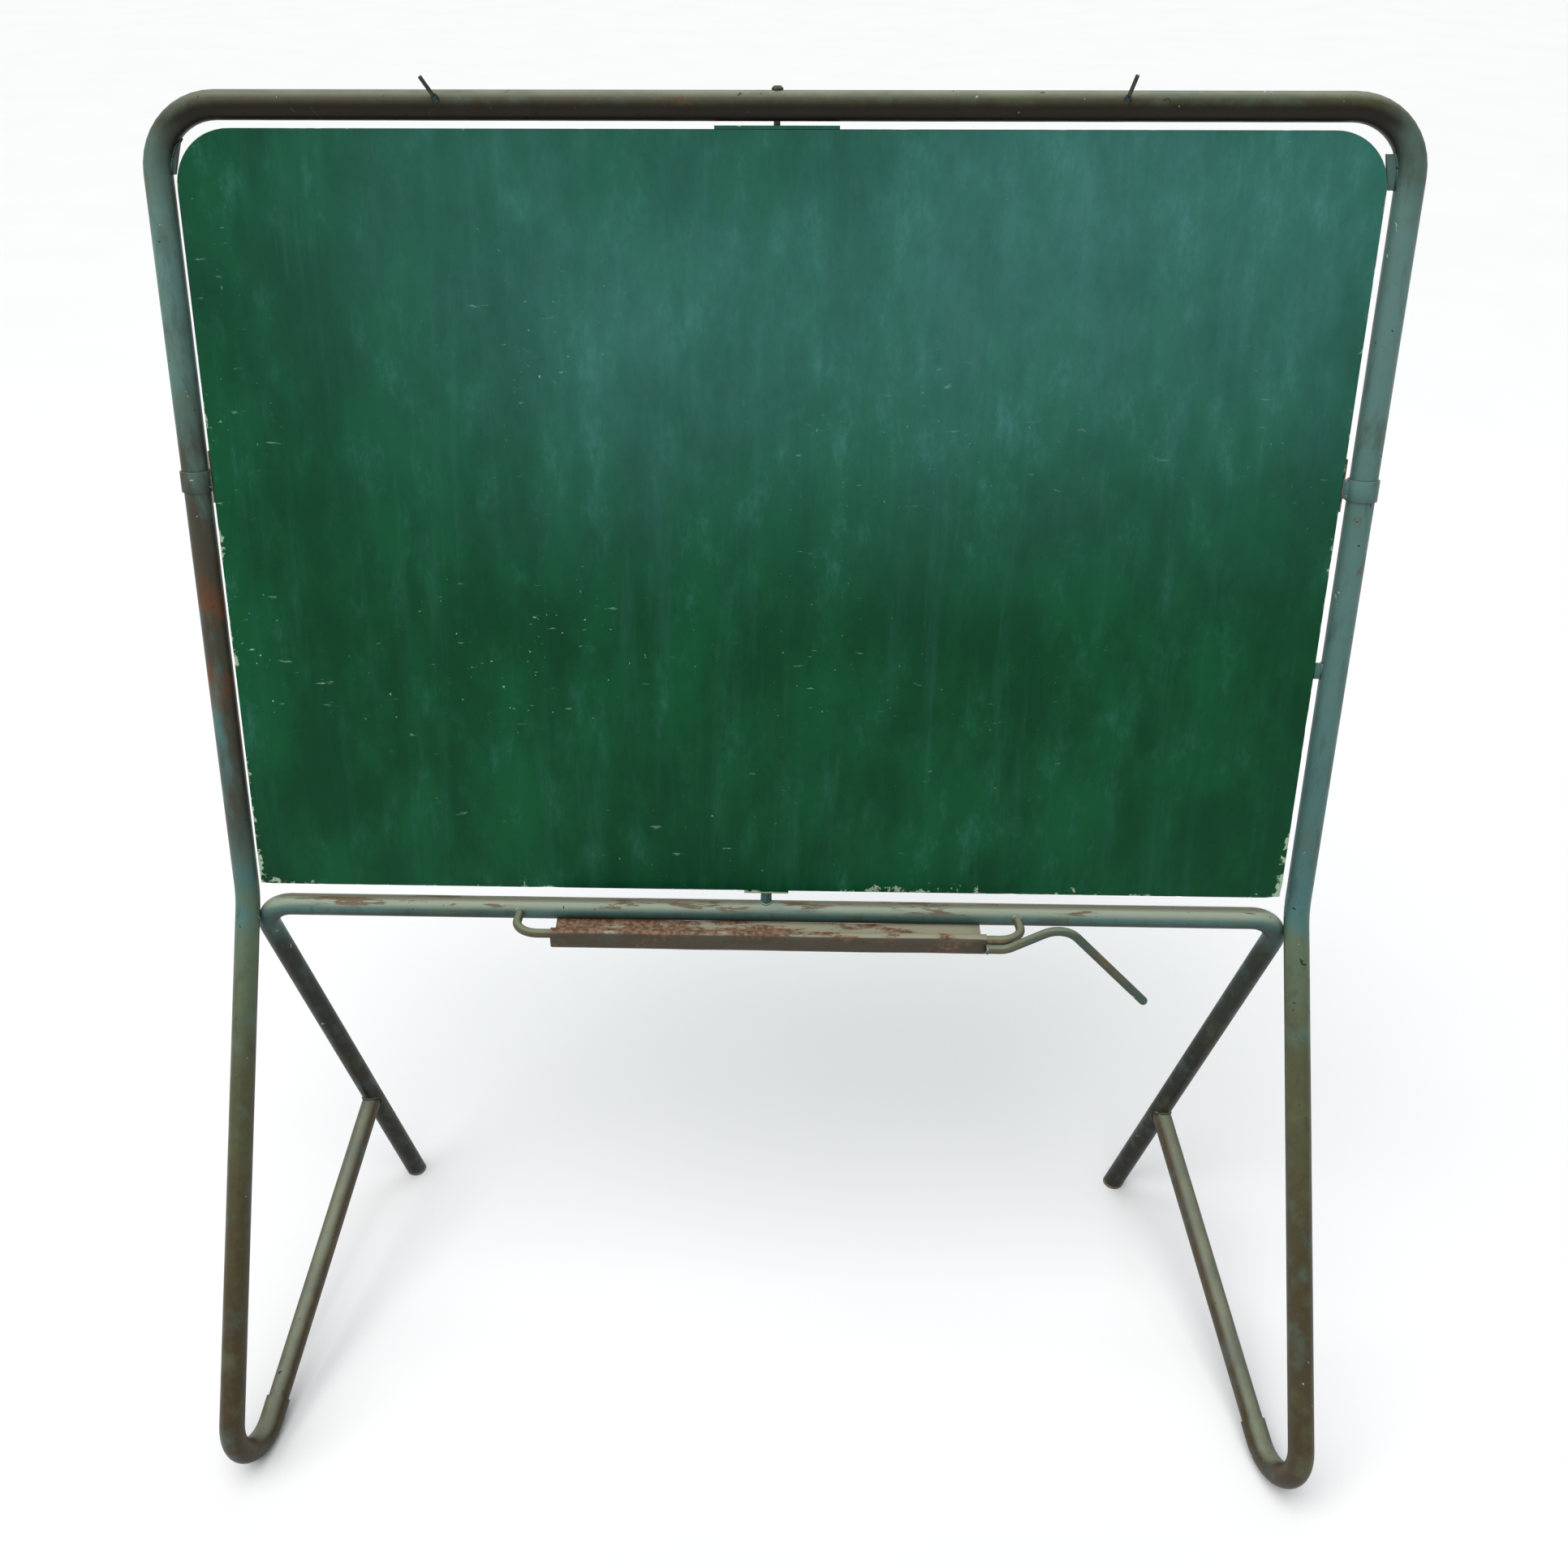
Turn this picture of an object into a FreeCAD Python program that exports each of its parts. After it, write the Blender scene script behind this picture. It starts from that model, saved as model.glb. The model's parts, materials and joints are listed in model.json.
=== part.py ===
"""Kids' easel: a two-faced blackboard that turns in a bent steel tube stand.

Millimetres, +X to the user's right, +Y to the back, +Z up.  The feet stand on Z = 0 and the
origin is the middle of the stand's footprint box.  The upper frame leans back from the bend,
so the pieces in it are drawn upright, with the bend line as their base line, and then leaned.
"""
import FreeCAD
import Part
import Sketcher

import math
import os

Vector = FreeCAD.Vector

SIZES = {
    # front tube: braces' sockets, front legs, posts and top rail in one bent length
    "post_spacing": 958.0,
    "frame_od": 22.0,
    "frame_wall": 1.4,
    "lean": 11.0,
    "upper_length": 676.0,
    "bend_height": 442.0,
    "knee_radius": 60.0,
    "crown_radius": 50.0,
    "foot_inset": 5.3,
    "foot_forward": 344.0,
    "foot_drop": 31.5,
    "socket_length": 18.0,
    # rear tube: lower cross rail and rear legs
    "rear_od": 20.0,
    "rail_drop": 7.0,
    "rear_wall": 1.4,
    "rail_side_gap": 0.242,
    "rail_corner_radius": 26.0,
    "rear_foot_inset": 92.2,
    "rear_foot_back": 69.8,
    "brace_share": 0.685,
    "brace_wall": 1.4,
    "brace_plug_in": 14.0,
    "cap_lip": 4.0,
    "cap_stem": 14.0,
    # blackboard
    "gap_beside_board": 5.5,
    "board_half_width": "=post_spacing / 2 - frame_od / 2 - gap_beside_board",
    "board_shift": -1.5,
    "board_thickness": 10.0,
    "board_corner": 44.0,
    "gap_above_board": 5.5,
    "board_foot": 16.0,
    # pivot plates, edge plates and their screws
    "top_plate_length": 95.0,
    "bottom_plate_length": 40.0,
    "pivot_plate_thick": 2.5,
    "strike_length": 43.0,
    "strike_thick": 1.2,
    "strike_rise": 4.0,
    "screw_radius": 1.4,
    "screw_head_radius": 2.3,
    "screw_head_depth": 0.8,
    "screw_length": 14.0,
    "screw_margin": 7.0,
    # pivots
    "bolt_radius": 2.5,
    "bolt_head_radius": 4.5,
    "bolt_head_height": 3.0,
    "bolt_head_side": 1.2,
    "head_taper": 0.6,
    "pin_radius": 3.0,
    "pin_chamfer": 1.0,
    "pivot_depth": 26.0,
    "running_gap": 0.06,
    "boss_radius": 5.0,
    "boss_gap": 0.4,
    # collars on the posts
    "collar_height": 17.0,
    "collar_sheet": 1.5,
    "collar_centre": 387.0,
    "catch_height": 14.0,
    "catch_front": 3.0,
    "catch_back": 9.0,
    "catch_gap": 0.5,
    "rivet_radius": 0.8,
    "rivet_drop": 4.5,
    "rivet_proud": 0.3,
    "rivet_dome": 0.6,
    # lugs welded to the posts
    "lug_thick": 3.0,
    "lug_height": 26.0,
    "lug_clearance": 1.2,
    "left_lug_drop": 13.0,
    "left_lug_reach": 7.0,
    "right_lug_drop": 22.0,
    "right_lug_reach": 4.6,
    "low_lug_height": 14.0,
    "low_lug_top": 238.0,
    # map pegs on the top rail
    "peg_radius": 1.5,
    "peg_length": 17.0,
    "peg_boss_radius": 2.6,
    "peg_boss_rise": 3.2,
    "peg_root": 2.0,
    "peg_offset": 258.0,
    "peg_seat_angle": 21.0,
    "peg_rise_angle": 54.0,
    "left_peg_splay": 25.0,
    "right_peg_splay": 9.0,
    # chalk tray, its rod frame and the duster hanger
    "rod_radius": 4.0,
    "tray_rod_overhang": 33.0,
    "tray_rod_reach": 46.7,
    "tray_rod_rise": 8.9,
    "tray_rod_corner": 22.0,
    "tray_length": 386.0,
    "tray_sheet": 1.0,
    "tray_floor_drop": 7.6,
    "tray_back_reach": 11.0,
    "tray_chamfer": 6.0,
    "tray_seat_angle": 52.0,
    "hanger_start_gap": 0.3,
    "hanger_weld_angle": 45.0,
    "hanger_level_run": 17.0,
    "hanger_rising_run": 48.0,
    "hanger_falling_run": 80.0,
    "hanger_peak_rise": 31.2,
    "hanger_tip_drop": 53.9,
    "hanger_entry_radius": 20.0,
    "hanger_peak_radius": 24.0,
    # small clearances, and how far a cutting tool passes the face it cuts
    "weld_gap": 0.05,
    "fit_gap": 0.1,
    "overcut": 1.0,
}

SAME = 0.01
ROUGH_RADIUS = 10.0
SOLVE_STEPS = 8

doc = FreeCAD.newDocument("KidsEasel")
sheet = doc.addObject("Spreadsheet::Sheet", "Sizes")
for row, (alias, value) in enumerate(SIZES.items(), start=1):
    sheet.set("A%d" % row, alias)
    sheet.set("B%d" % row, str(value))
    sheet.setAlias("B%d" % row, alias)
doc.recompute()


def size(alias):
    """Read one driving size back from the sheet."""
    return float(sheet.get(alias))


nodes = []


# ---------------------------------------------------------------------------
# places
# ---------------------------------------------------------------------------

def unit(vector):
    """A copy of the vector, one unit long."""
    return Vector(vector).normalize()


LEAN = FreeCAD.Placement(
    Vector(0, 0, size("bend_height")), FreeCAD.Rotation(Vector(1, 0, 0), -size("lean")))
UPRIGHT = LEAN.Rotation.multVec(Vector(0, 0, 1))

FRAME_R = size("frame_od") / 2
REAR_R = size("rear_od") / 2
BRACE_R = FRAME_R - size("frame_wall") - size("fit_gap")
ROD_R = size("rod_radius")
HALF_SPACING = size("post_spacing") / 2
BOARD_BOTTOM = size("board_foot")
BOARD_TOP = size("upper_length") - FRAME_R - size("gap_above_board")
RAIL_CENTRE = Vector(0, 0, size("bend_height")) - UPRIGHT * size("rail_drop")
STRIKE_CENTRE = size("collar_centre") + size("strike_rise")


def bent_path(points, radii):
    """A wire of straight runs joined by tangent arcs, one radius for each inner point."""
    edges = []
    start = points[0]
    for before, corner, after, radius in zip(points, points[1:], points[2:], radii):
        into = unit(corner - before)
        out = unit(after - corner)
        turn = into.getAngle(out)
        setback = radius * math.tan(turn / 2)
        first = corner - into * setback
        last = corner + out * setback
        centre = corner + unit(out - into) * (radius / math.cos(turn / 2))
        middle = centre + unit(corner - centre) * radius
        edges.append(Part.LineSegment(start, first).toShape())
        edges.append(Part.Arc(first, middle, last).toShape())
        start = last
    edges.append(Part.LineSegment(start, points[-1]).toShape())
    return Part.Wire(edges)


def side_point(side, point):
    """A point given for the right side, mirrored to the left where side is -1."""
    return Vector(side * point.x, point.y, point.z)


KNEE = Vector(HALF_SPACING, 0, size("bend_height"))
CROWN = KNEE + UPRIGHT * size("upper_length")
FOOT = Vector(HALF_SPACING - size("foot_inset"), -size("foot_forward"), -size("foot_drop"))
REAR_FOOT = Vector(HALF_SPACING - size("rear_foot_inset"), size("rear_foot_back"), 0)


def rail_corner():
    """The rear tube's corner, as far out as it goes while it clears the front tube."""
    front_line = bent_path([FOOT, KNEE, CROWN], [size("knee_radius")])
    wanted = FRAME_R + REAR_R + size("rail_side_gap")
    corner = Vector(KNEE.x, RAIL_CENTRE.y, RAIL_CENTRE.z)
    for _ in range(SOLVE_STEPS):
        rear_line = bent_path(
            [RAIL_CENTRE, corner, REAR_FOOT], [size("rail_corner_radius")])
        corner.x -= wanted - front_line.distToShape(rear_line)[0]
    return corner


RAIL_CORNER = rail_corner()
BRACE_END = RAIL_CORNER + (REAR_FOOT - RAIL_CORNER) * size("brace_share")

LEG_WAY = unit(FOOT - KNEE)
BRACE_WAY = unit(BRACE_END - FOOT)
REAR_WAY = unit(REAR_FOOT - RAIL_CORNER)


def foot_bend_radius():
    """The foot bend's radius, so that the bend's underside just touches the floor."""
    turn = LEG_WAY.getAngle(BRACE_WAY)
    normal = unit(LEG_WAY.cross(BRACE_WAY))
    to_centre = unit(BRACE_WAY - LEG_WAY)
    depth = math.sqrt(1 - normal.z ** 2)
    return (FRAME_R + size("foot_drop")) / (to_centre.z / math.cos(turn / 2) - depth)


FOOT_RADIUS = foot_bend_radius()


def footprint_shift():
    """How far the stand moves in Y to put the origin in the middle of its box."""
    turn = LEG_WAY.getAngle(BRACE_WAY)
    normal = unit(LEG_WAY.cross(BRACE_WAY))
    centre = FOOT + unit(BRACE_WAY - LEG_WAY) * (FOOT_RADIUS / math.cos(turn / 2))
    front = centre.y - FOOT_RADIUS * math.sqrt(1 - normal.y ** 2) - FRAME_R
    back = CROWN.y + FRAME_R
    return -(front + back) / 2


STAND = FreeCAD.Placement(Vector(0, footprint_shift(), 0), FreeCAD.Rotation())
UPPER = STAND.multiply(LEAN)


# ---------------------------------------------------------------------------
# helpers that make shapes
# ---------------------------------------------------------------------------

def keep(thing, label, placement):
    """Give a sub-part its name and its place, and note it for export."""
    thing.Label = label
    thing.Placement = placement
    nodes.append(thing)
    return thing


def solid_feature(label, shape, placement):
    """A sub-part whose shape is made with Part's own functions."""
    feature = doc.addObject("Part::Feature", label)
    feature.Shape = shape
    return keep(feature, label, placement)


def swept_round(points, radii, radius):
    """A round bar along a bent path."""
    ring = Part.makeCircle(radius, points[0], points[1] - points[0])
    return bent_path(points, radii).makePipeShell([Part.Wire([ring])], True, False)


def rod_between(start, end, radius):
    """A straight round bar."""
    return Part.makeCylinder(radius, (end - start).Length, start, end - start)


def bound(thing, **expressions):
    """Bind properties of a document object to the sheet."""
    for name, expression in expressions.items():
        thing.setExpression(name, expression)
    return thing


def cylinder(name, radius, height, base, direction=Vector(0, 0, 1)):
    """A Part cylinder with its radius and height bound to the sheet."""
    tool = doc.addObject("Part::Cylinder", name)
    bound(tool, Radius=radius, Height=height)
    tool.Placement = FreeCAD.Placement(base, FreeCAD.Rotation(Vector(0, 0, 1), direction))
    return tool


def block(name, length, width, height, corner):
    """A Part box with its three sizes bound to the sheet."""
    tool = doc.addObject("Part::Box", name)
    bound(tool, Length=length, Width=width, Height=height)
    tool.Placement.Base = corner
    return tool


def joined(name, pieces):
    """The union of several document objects."""
    union = doc.addObject("Part::MultiFuse", name)
    union.Shapes = pieces
    return union


def cut(name, base, tool):
    """One document object less another."""
    result = doc.addObject("Part::Cut", name)
    result.Base = base
    result.Tool = tool
    return result


def outline(body, role, points):
    """A closed outline whose corners are bound, pair by pair, to sheet expressions."""
    plane = next(f for f in body.Origin.OriginFeatures if f.Role == role)
    sketch = body.newObject("Sketcher::SketchObject", body.Name + "_outline")
    sketch.AttachmentSupport = [(plane, "")]
    sketch.MapMode = "FlatFace"
    count = len(points)
    rough = []
    for turn in range(count):
        angle = 2 * math.pi * turn / count
        rough.append(Vector(math.cos(angle), math.sin(angle), 0) * ROUGH_RADIUS)
    for index in range(count):
        start = rough[index]
        end = rough[(index + 1) % count]
        sketch.addGeometry(Part.LineSegment(start, end), False)
    for index in range(count):
        following = (index + 1) % count
        sketch.addConstraint(Sketcher.Constraint("Coincident", index, 2, following, 1))
    for index, (across, upward) in enumerate(points):
        for kind, expression in (("DistanceX", across), ("DistanceY", upward)):
            place = sketch.addConstraint(
                Sketcher.Constraint(kind, -1, 1, index, 1, 1.0))
            name = "%s_%d" % (kind, index)
            sketch.renameConstraint(place, name)
            sketch.setExpression("Constraints." + name, expression)
    return sketch


def turned(label, points):
    """A body turned about Z from a half outline in the XZ plane."""
    body = doc.addObject("PartDesign::Body", label + "_body")
    sketch = outline(body, "XZ_Plane", points)
    doc.recompute()
    feature = body.newObject("PartDesign::Revolution", label + "_turned")
    feature.Profile = sketch
    feature.ReferenceAxis = (sketch, ["V_Axis"])
    feature.Angle = 360.0
    return body


def flat_plate(label, points, thickness):
    """A body padded both ways in Y from an outline in the XZ plane."""
    body = doc.addObject("PartDesign::Body", label + "_body")
    sketch = outline(body, "XZ_Plane", points)
    doc.recompute()
    feature = body.newObject("PartDesign::Pad", label + "_pad")
    feature.Profile = sketch
    feature.SideType = "Symmetric"
    feature.setExpression("Length", thickness)
    return body


# ---------------------------------------------------------------------------
# stand
# ---------------------------------------------------------------------------

def socket_end():
    """The right end of the front tube, just past the foot bend."""
    setback = FOOT_RADIUS * math.tan(LEG_WAY.getAngle(BRACE_WAY) / 2)
    return FOOT + BRACE_WAY * (setback + size("socket_length"))


def frame_bar(growth):
    """The front tube's outer form as a solid bar, grown or shrunk by a small amount."""
    right = [socket_end(), FOOT, KNEE, CROWN]
    points = right + [side_point(-1, point) for point in reversed(right)]
    half_radii = [FOOT_RADIUS, size("knee_radius"), size("crown_radius")]
    return swept_round(points, half_radii + half_radii[::-1], FRAME_R + growth)


def front_frame():
    """One tube: foot sockets, front legs, posts and top rail, drilled for the pivot bolt."""
    outer = frame_bar(0)
    inner = frame_bar(-size("frame_wall"))
    centre = LEAN.multVec(Vector(size("board_shift"), 0, size("upper_length")))
    hole = rod_between(
        centre - UPRIGHT * size("frame_od"), centre + UPRIGHT * size("frame_od"),
        size("bolt_radius") + size("running_gap"))
    solid_feature("front_frame", outer.cut(inner).cut(hole), STAND)


def rear_frame():
    """One tube: lower cross rail and both rear legs, cut level above their foot caps."""
    past_floor = RAIL_CORNER + REAR_WAY * ((REAR_FOOT - RAIL_CORNER).Length + 4 * REAR_R)
    points = [past_floor, RAIL_CORNER, side_point(-1, RAIL_CORNER), side_point(-1, past_floor)]
    radii = [size("rail_corner_radius")] * 2
    outer = swept_round(points, radii, REAR_R)
    inner = swept_round(points, radii, REAR_R - size("rear_wall"))
    width = size("post_spacing")
    below = Part.makeBox(
        2 * width, 2 * width, width, Vector(-width, -width, size("cap_lip") - width))
    pin_hole = rod_between(
        RAIL_CENTRE + Vector(size("board_shift"), 0, 0),
        RAIL_CENTRE + Vector(size("board_shift"), 0, 0) + UPRIGHT * (2 * REAR_R),
        size("pin_radius") + size("weld_gap"))
    solid_feature("rear_frame", outer.cut(inner).cut(below).cut(pin_hole), STAND)


def braces():
    """Low tubes from inside the foot sockets to the rear legs, mitred round them."""
    start = socket_end() - BRACE_WAY * size("brace_plug_in")
    for side, name in ((-1, "left_brace"), (1, "right_brace")):
        first = side_point(side, start)
        last = side_point(side, BRACE_END)
        outer = rod_between(first, last, BRACE_R)
        inner = rod_between(first, last, BRACE_R - size("brace_wall"))
        leg = rod_between(
            side_point(side, RAIL_CORNER), side_point(side, REAR_FOOT),
            REAR_R + size("weld_gap"))
        solid_feature(name, outer.cut(inner).cut(leg), STAND)


def level_slab(centre, low, high):
    """A block between two heights, as wide as the stand, to cut a slanting rod level."""
    wide = size("post_spacing")
    return Part.makeBox(
        wide, wide, high - low, Vector(centre.x - wide / 2, centre.y - wide / 2, low))


def foot_caps():
    """Caps pressed into the rear legs: a stem in the bore and a lip on the floor."""
    lip_top = size("cap_lip")
    stem_top = lip_top + size("cap_stem")
    stem_r = REAR_R - size("rear_wall") - size("fit_gap")
    for side, name in ((-1, "left_rear_cap"), (1, "right_rear_cap")):
        foot = side_point(side, REAR_FOOT)
        reach = side_point(side, REAR_WAY) * (2 * stem_top)
        lip = rod_between(foot + reach, foot - reach, REAR_R)
        lip = lip.common(level_slab(foot, 0, lip_top))
        stem = rod_between(foot + reach, foot - reach, stem_r)
        stem = stem.common(level_slab(foot, lip_top, stem_top))
        solid_feature(name, lip.fuse(stem).removeSplitter(), STAND)


# ---------------------------------------------------------------------------
# pivots
# ---------------------------------------------------------------------------

def pivots():
    """The bolt through the top rail, and the pin and boss on the lower rail."""
    shift = Vector(size("board_shift"), 0, 0)
    pivot_place = UPPER.multiply(FreeCAD.Placement(shift, FreeCAD.Rotation()))
    head_base = "Sizes.upper_length + Sizes.frame_od / 2 + Sizes.weld_gap"
    end = "Sizes.upper_length - Sizes.frame_od / 2 - Sizes.gap_above_board - Sizes.pivot_depth"
    bolt = turned("top_pivot_bolt", [
        ("0", end),
        ("Sizes.bolt_radius", end),
        ("Sizes.bolt_radius", head_base),
        ("Sizes.bolt_head_radius", head_base),
        ("Sizes.bolt_head_radius", head_base + " + Sizes.bolt_head_side"),
        ("Sizes.bolt_head_radius * Sizes.head_taper", head_base + " + Sizes.bolt_head_height"),
        ("0", head_base + " + Sizes.bolt_head_height"),
    ])
    keep(bolt, "top_pivot_bolt", pivot_place)

    top = "Sizes.board_foot + Sizes.pivot_depth"
    pin = turned("bottom_pivot_pin", [
        ("0", "-Sizes.rail_drop - Sizes.pin_radius"),
        ("Sizes.pin_radius", "-Sizes.rail_drop - Sizes.pin_radius"),
        ("Sizes.pin_radius", top + " - Sizes.pin_chamfer"),
        ("Sizes.pin_radius - Sizes.pin_chamfer", top),
        ("0", top),
    ])
    keep(pin, "bottom_pivot_pin", pivot_place)

    boss_height = "Sizes.board_foot + Sizes.rail_drop - Sizes.pivot_plate_thick"
    rail_line = Vector(0, 0, -size("rail_drop"))
    outer = cylinder(
        "boss_outer", "Sizes.boss_radius", boss_height + " - Sizes.boss_gap", rail_line)
    bore = cylinder("boss_bore", "Sizes.pin_radius + Sizes.weld_gap", boss_height, rail_line)
    saddle = cylinder(
        "boss_saddle", "Sizes.rear_od / 2 + Sizes.weld_gap", "Sizes.post_spacing",
        rail_line - Vector(HALF_SPACING, 0, 0), Vector(1, 0, 0))
    boss = cut("bottom_pivot_boss_cut", outer, joined("boss_tools", [bore, saddle]))
    keep(boss, "bottom_pivot_boss", pivot_place)


# ---------------------------------------------------------------------------
# blackboard
# ---------------------------------------------------------------------------

def screw_places():
    """Where the edge screws go: a point on the board's edge and the way out of it."""
    places = []
    top_reach = size("top_plate_length") / 2 - size("screw_margin")
    bottom_reach = size("bottom_plate_length") / 2 - size("screw_margin")
    side_reach = size("strike_length") / 2 - size("screw_margin")
    half = size("board_half_width")
    for sign in (-1, 1):
        thick = size("pivot_plate_thick")
        places.append((Vector(sign * top_reach, 0, BOARD_TOP + thick), Vector(0, 0, 1)))
        places.append((Vector(sign * bottom_reach, 0, BOARD_BOTTOM - thick), Vector(0, 0, -1)))
        for step in (-1, 1):
            height = STRIKE_CENTRE + step * side_reach
            edge = sign * (half + size("strike_thick"))
            places.append((Vector(edge, 0, height), Vector(sign, 0, 0)))
    return places


def screw_shape(clearance):
    """A countersunk screw with its head's flat face at the origin and its shank down -Z."""
    head = Part.makeCone(
        size("screw_radius") + clearance, size("screw_head_radius") + clearance,
        size("screw_head_depth"), Vector(0, 0, -size("screw_head_depth")))
    shank = Part.makeCylinder(
        size("screw_radius") + clearance, size("screw_length") + clearance,
        Vector(0, 0, -size("screw_length") - clearance))
    return head.fuse(shank).removeSplitter()


def placed_screws(clearance):
    """All the edge screws, or with a clearance the holes for them."""
    screws = []
    for point, way in screw_places():
        one = screw_shape(clearance)
        one.Placement = FreeCAD.Placement(point, FreeCAD.Rotation(Vector(0, 0, 1), way))
        screws.append(one)
    return Part.makeCompound(screws)


def board_panel(screw_holes, board_place):
    """The panel: square below, rounded above, bored for both pivots."""
    half = "Sizes.board_half_width"
    low = "Sizes.board_foot"
    high = "Sizes.upper_length - Sizes.frame_od / 2 - Sizes.gap_above_board"
    blank = flat_plate("board_panel", [
        ("-" + half, low), (half, low), (half, high), ("-" + half, high),
    ], "Sizes.board_thickness")
    doc.recompute()
    pad = blank.Tip
    top_edges = []
    for index, edge in enumerate(pad.Shape.Edges, start=1):
        middle = edge.CenterOfMass
        along_y = abs(edge.Length - size("board_thickness")) < SAME
        if along_y and middle.z > BOARD_TOP - SAME:
            top_edges.append("Edge%d" % index)
    rounded = blank.newObject("PartDesign::Fillet", "board_corners")
    rounded.Base = (pad, top_edges)
    rounded.setExpression("Radius", "Sizes.board_corner")
    blank.Tip = rounded
    doc.recompute()
    top_bore = cylinder(
        "board_top_bore", "Sizes.bolt_radius + Sizes.running_gap",
        "Sizes.pivot_depth + 2 * Sizes.overcut",
        Vector(0, 0, BOARD_TOP - size("pivot_depth") - size("overcut")))
    bottom_bore = cylinder(
        "board_bottom_bore", "Sizes.pin_radius + Sizes.running_gap",
        "Sizes.pivot_depth + 2 * Sizes.overcut", Vector(0, 0, BOARD_BOTTOM - size("overcut")))
    tools = joined("board_tools", [top_bore, bottom_bore, screw_holes])
    keep(cut("board_panel_cut", blank, tools), "board_panel", board_place)


def edge_plates(screw_holes, board_place):
    """The pivot plates on the top and bottom edges and the strike plates on the sides."""
    thick = size("pivot_plate_thick")
    half = size("board_half_width")
    y_low = -size("board_thickness") / 2
    plates = (
        ("top_pivot_plate", "Sizes.top_plate_length", "Sizes.pivot_plate_thick",
         Vector(-size("top_plate_length") / 2, y_low, BOARD_TOP), "Sizes.bolt_radius"),
        ("bottom_pivot_plate", "Sizes.bottom_plate_length", "Sizes.pivot_plate_thick",
         Vector(-size("bottom_plate_length") / 2, y_low, BOARD_BOTTOM - thick),
         "Sizes.pin_radius"),
        ("left_strike_plate", "Sizes.strike_thick", "Sizes.strike_length",
         Vector(-half - size("strike_thick"), y_low,
                STRIKE_CENTRE - size("strike_length") / 2), None),
        ("right_strike_plate", "Sizes.strike_thick", "Sizes.strike_length",
         Vector(half, y_low, STRIKE_CENTRE - size("strike_length") / 2), None),
    )
    for label, length, height, corner, pivot_radius in plates:
        blank = block(label + "_blank", length, "Sizes.board_thickness", height, corner)
        tools = screw_holes
        if pivot_radius:
            bore = cylinder(
                label + "_bore", pivot_radius + " + Sizes.running_gap",
                "3 * Sizes.pivot_plate_thick", corner + Vector(0, 0, -thick))
            bore.Placement.Base.x = 0
            bore.Placement.Base.y = 0
            tools = joined(label + "_tools", [bore, screw_holes])
        keep(cut(label + "_cut", blank, tools), label, board_place)


def blackboard():
    """Everything that turns with the board."""
    shift = Vector(size("board_shift"), 0, 0)
    board_place = UPPER.multiply(FreeCAD.Placement(shift, FreeCAD.Rotation()))
    screw_holes = doc.addObject("Part::Feature", "screw_holes")
    screw_holes.Shape = placed_screws(size("weld_gap"))
    board_panel(screw_holes, board_place)
    edge_plates(screw_holes, board_place)
    solid_feature("edge_plate_screws", placed_screws(0.0), board_place)


# ---------------------------------------------------------------------------
# collars and lugs on the posts
# ---------------------------------------------------------------------------

def collars():
    """Sheet bands round the posts, each with a catch that ends just short of the board."""
    low = size("collar_centre") - size("collar_height") / 2
    catch_low = size("collar_centre") - size("catch_height") / 2
    reach = size("board_half_width") + size("strike_thick") + size("catch_gap")
    for side, name in ((-1, "left"), (1, "right")):
        post_x = side * HALF_SPACING
        tip_x = size("board_shift") + side * reach
        root_x = post_x - side * FRAME_R / 2
        band = cylinder(
            name + "_band", "Sizes.frame_od / 2 + Sizes.fit_gap + Sizes.collar_sheet",
            "Sizes.collar_height", Vector(post_x, 0, low))
        bore = cylinder(
            name + "_band_bore", "Sizes.frame_od / 2 + Sizes.fit_gap",
            "Sizes.collar_height + 2 * Sizes.overcut",
            Vector(post_x, 0, low - size("overcut")))
        catch = block(
            name + "_catch",
            "Sizes.post_spacing / 2 - Sizes.frame_od / 4 - Sizes.board_half_width"
            " - Sizes.strike_thick - Sizes.catch_gap - %d * Sizes.board_shift" % side,
            "Sizes.catch_front + Sizes.catch_back", "Sizes.catch_height",
            Vector(min(tip_x, root_x), -size("catch_front"), catch_low))
        rivet_x = (tip_x + post_x - side * (FRAME_R + size("fit_gap"))) / 2
        rivet_z = size("collar_centre") - size("rivet_drop")
        hole = cylinder(
            name + "_rivet_hole", "Sizes.rivet_radius + Sizes.weld_gap",
            "Sizes.catch_front + Sizes.catch_back + 2 * Sizes.overcut",
            Vector(rivet_x, -size("catch_front") - size("overcut"), rivet_z),
            Vector(0, 1, 0))
        body = joined(name + "_collar_blank", [band, catch])
        tools = joined(name + "_collar_tools", [bore, hole])
        keep(cut(name + "_collar_cut", body, tools), name + "_collar", UPPER)
        back = "-Sizes.catch_back - Sizes.rivet_proud"
        front = "Sizes.catch_front + Sizes.rivet_proud"
        rivet = turned(name + "_collar_rivet", [
            ("0", back),
            ("Sizes.rivet_radius", back),
            ("Sizes.rivet_radius", front),
            ("Sizes.rivet_radius * Sizes.head_taper", front + " + Sizes.rivet_dome"),
            ("0", front + " + Sizes.rivet_dome"),
        ])
        across = FreeCAD.Placement(
            Vector(rivet_x, 0, rivet_z), FreeCAD.Rotation(Vector(1, 0, 0), 90))
        keep(rivet, name + "_collar_rivet", UPPER.multiply(across))


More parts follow.
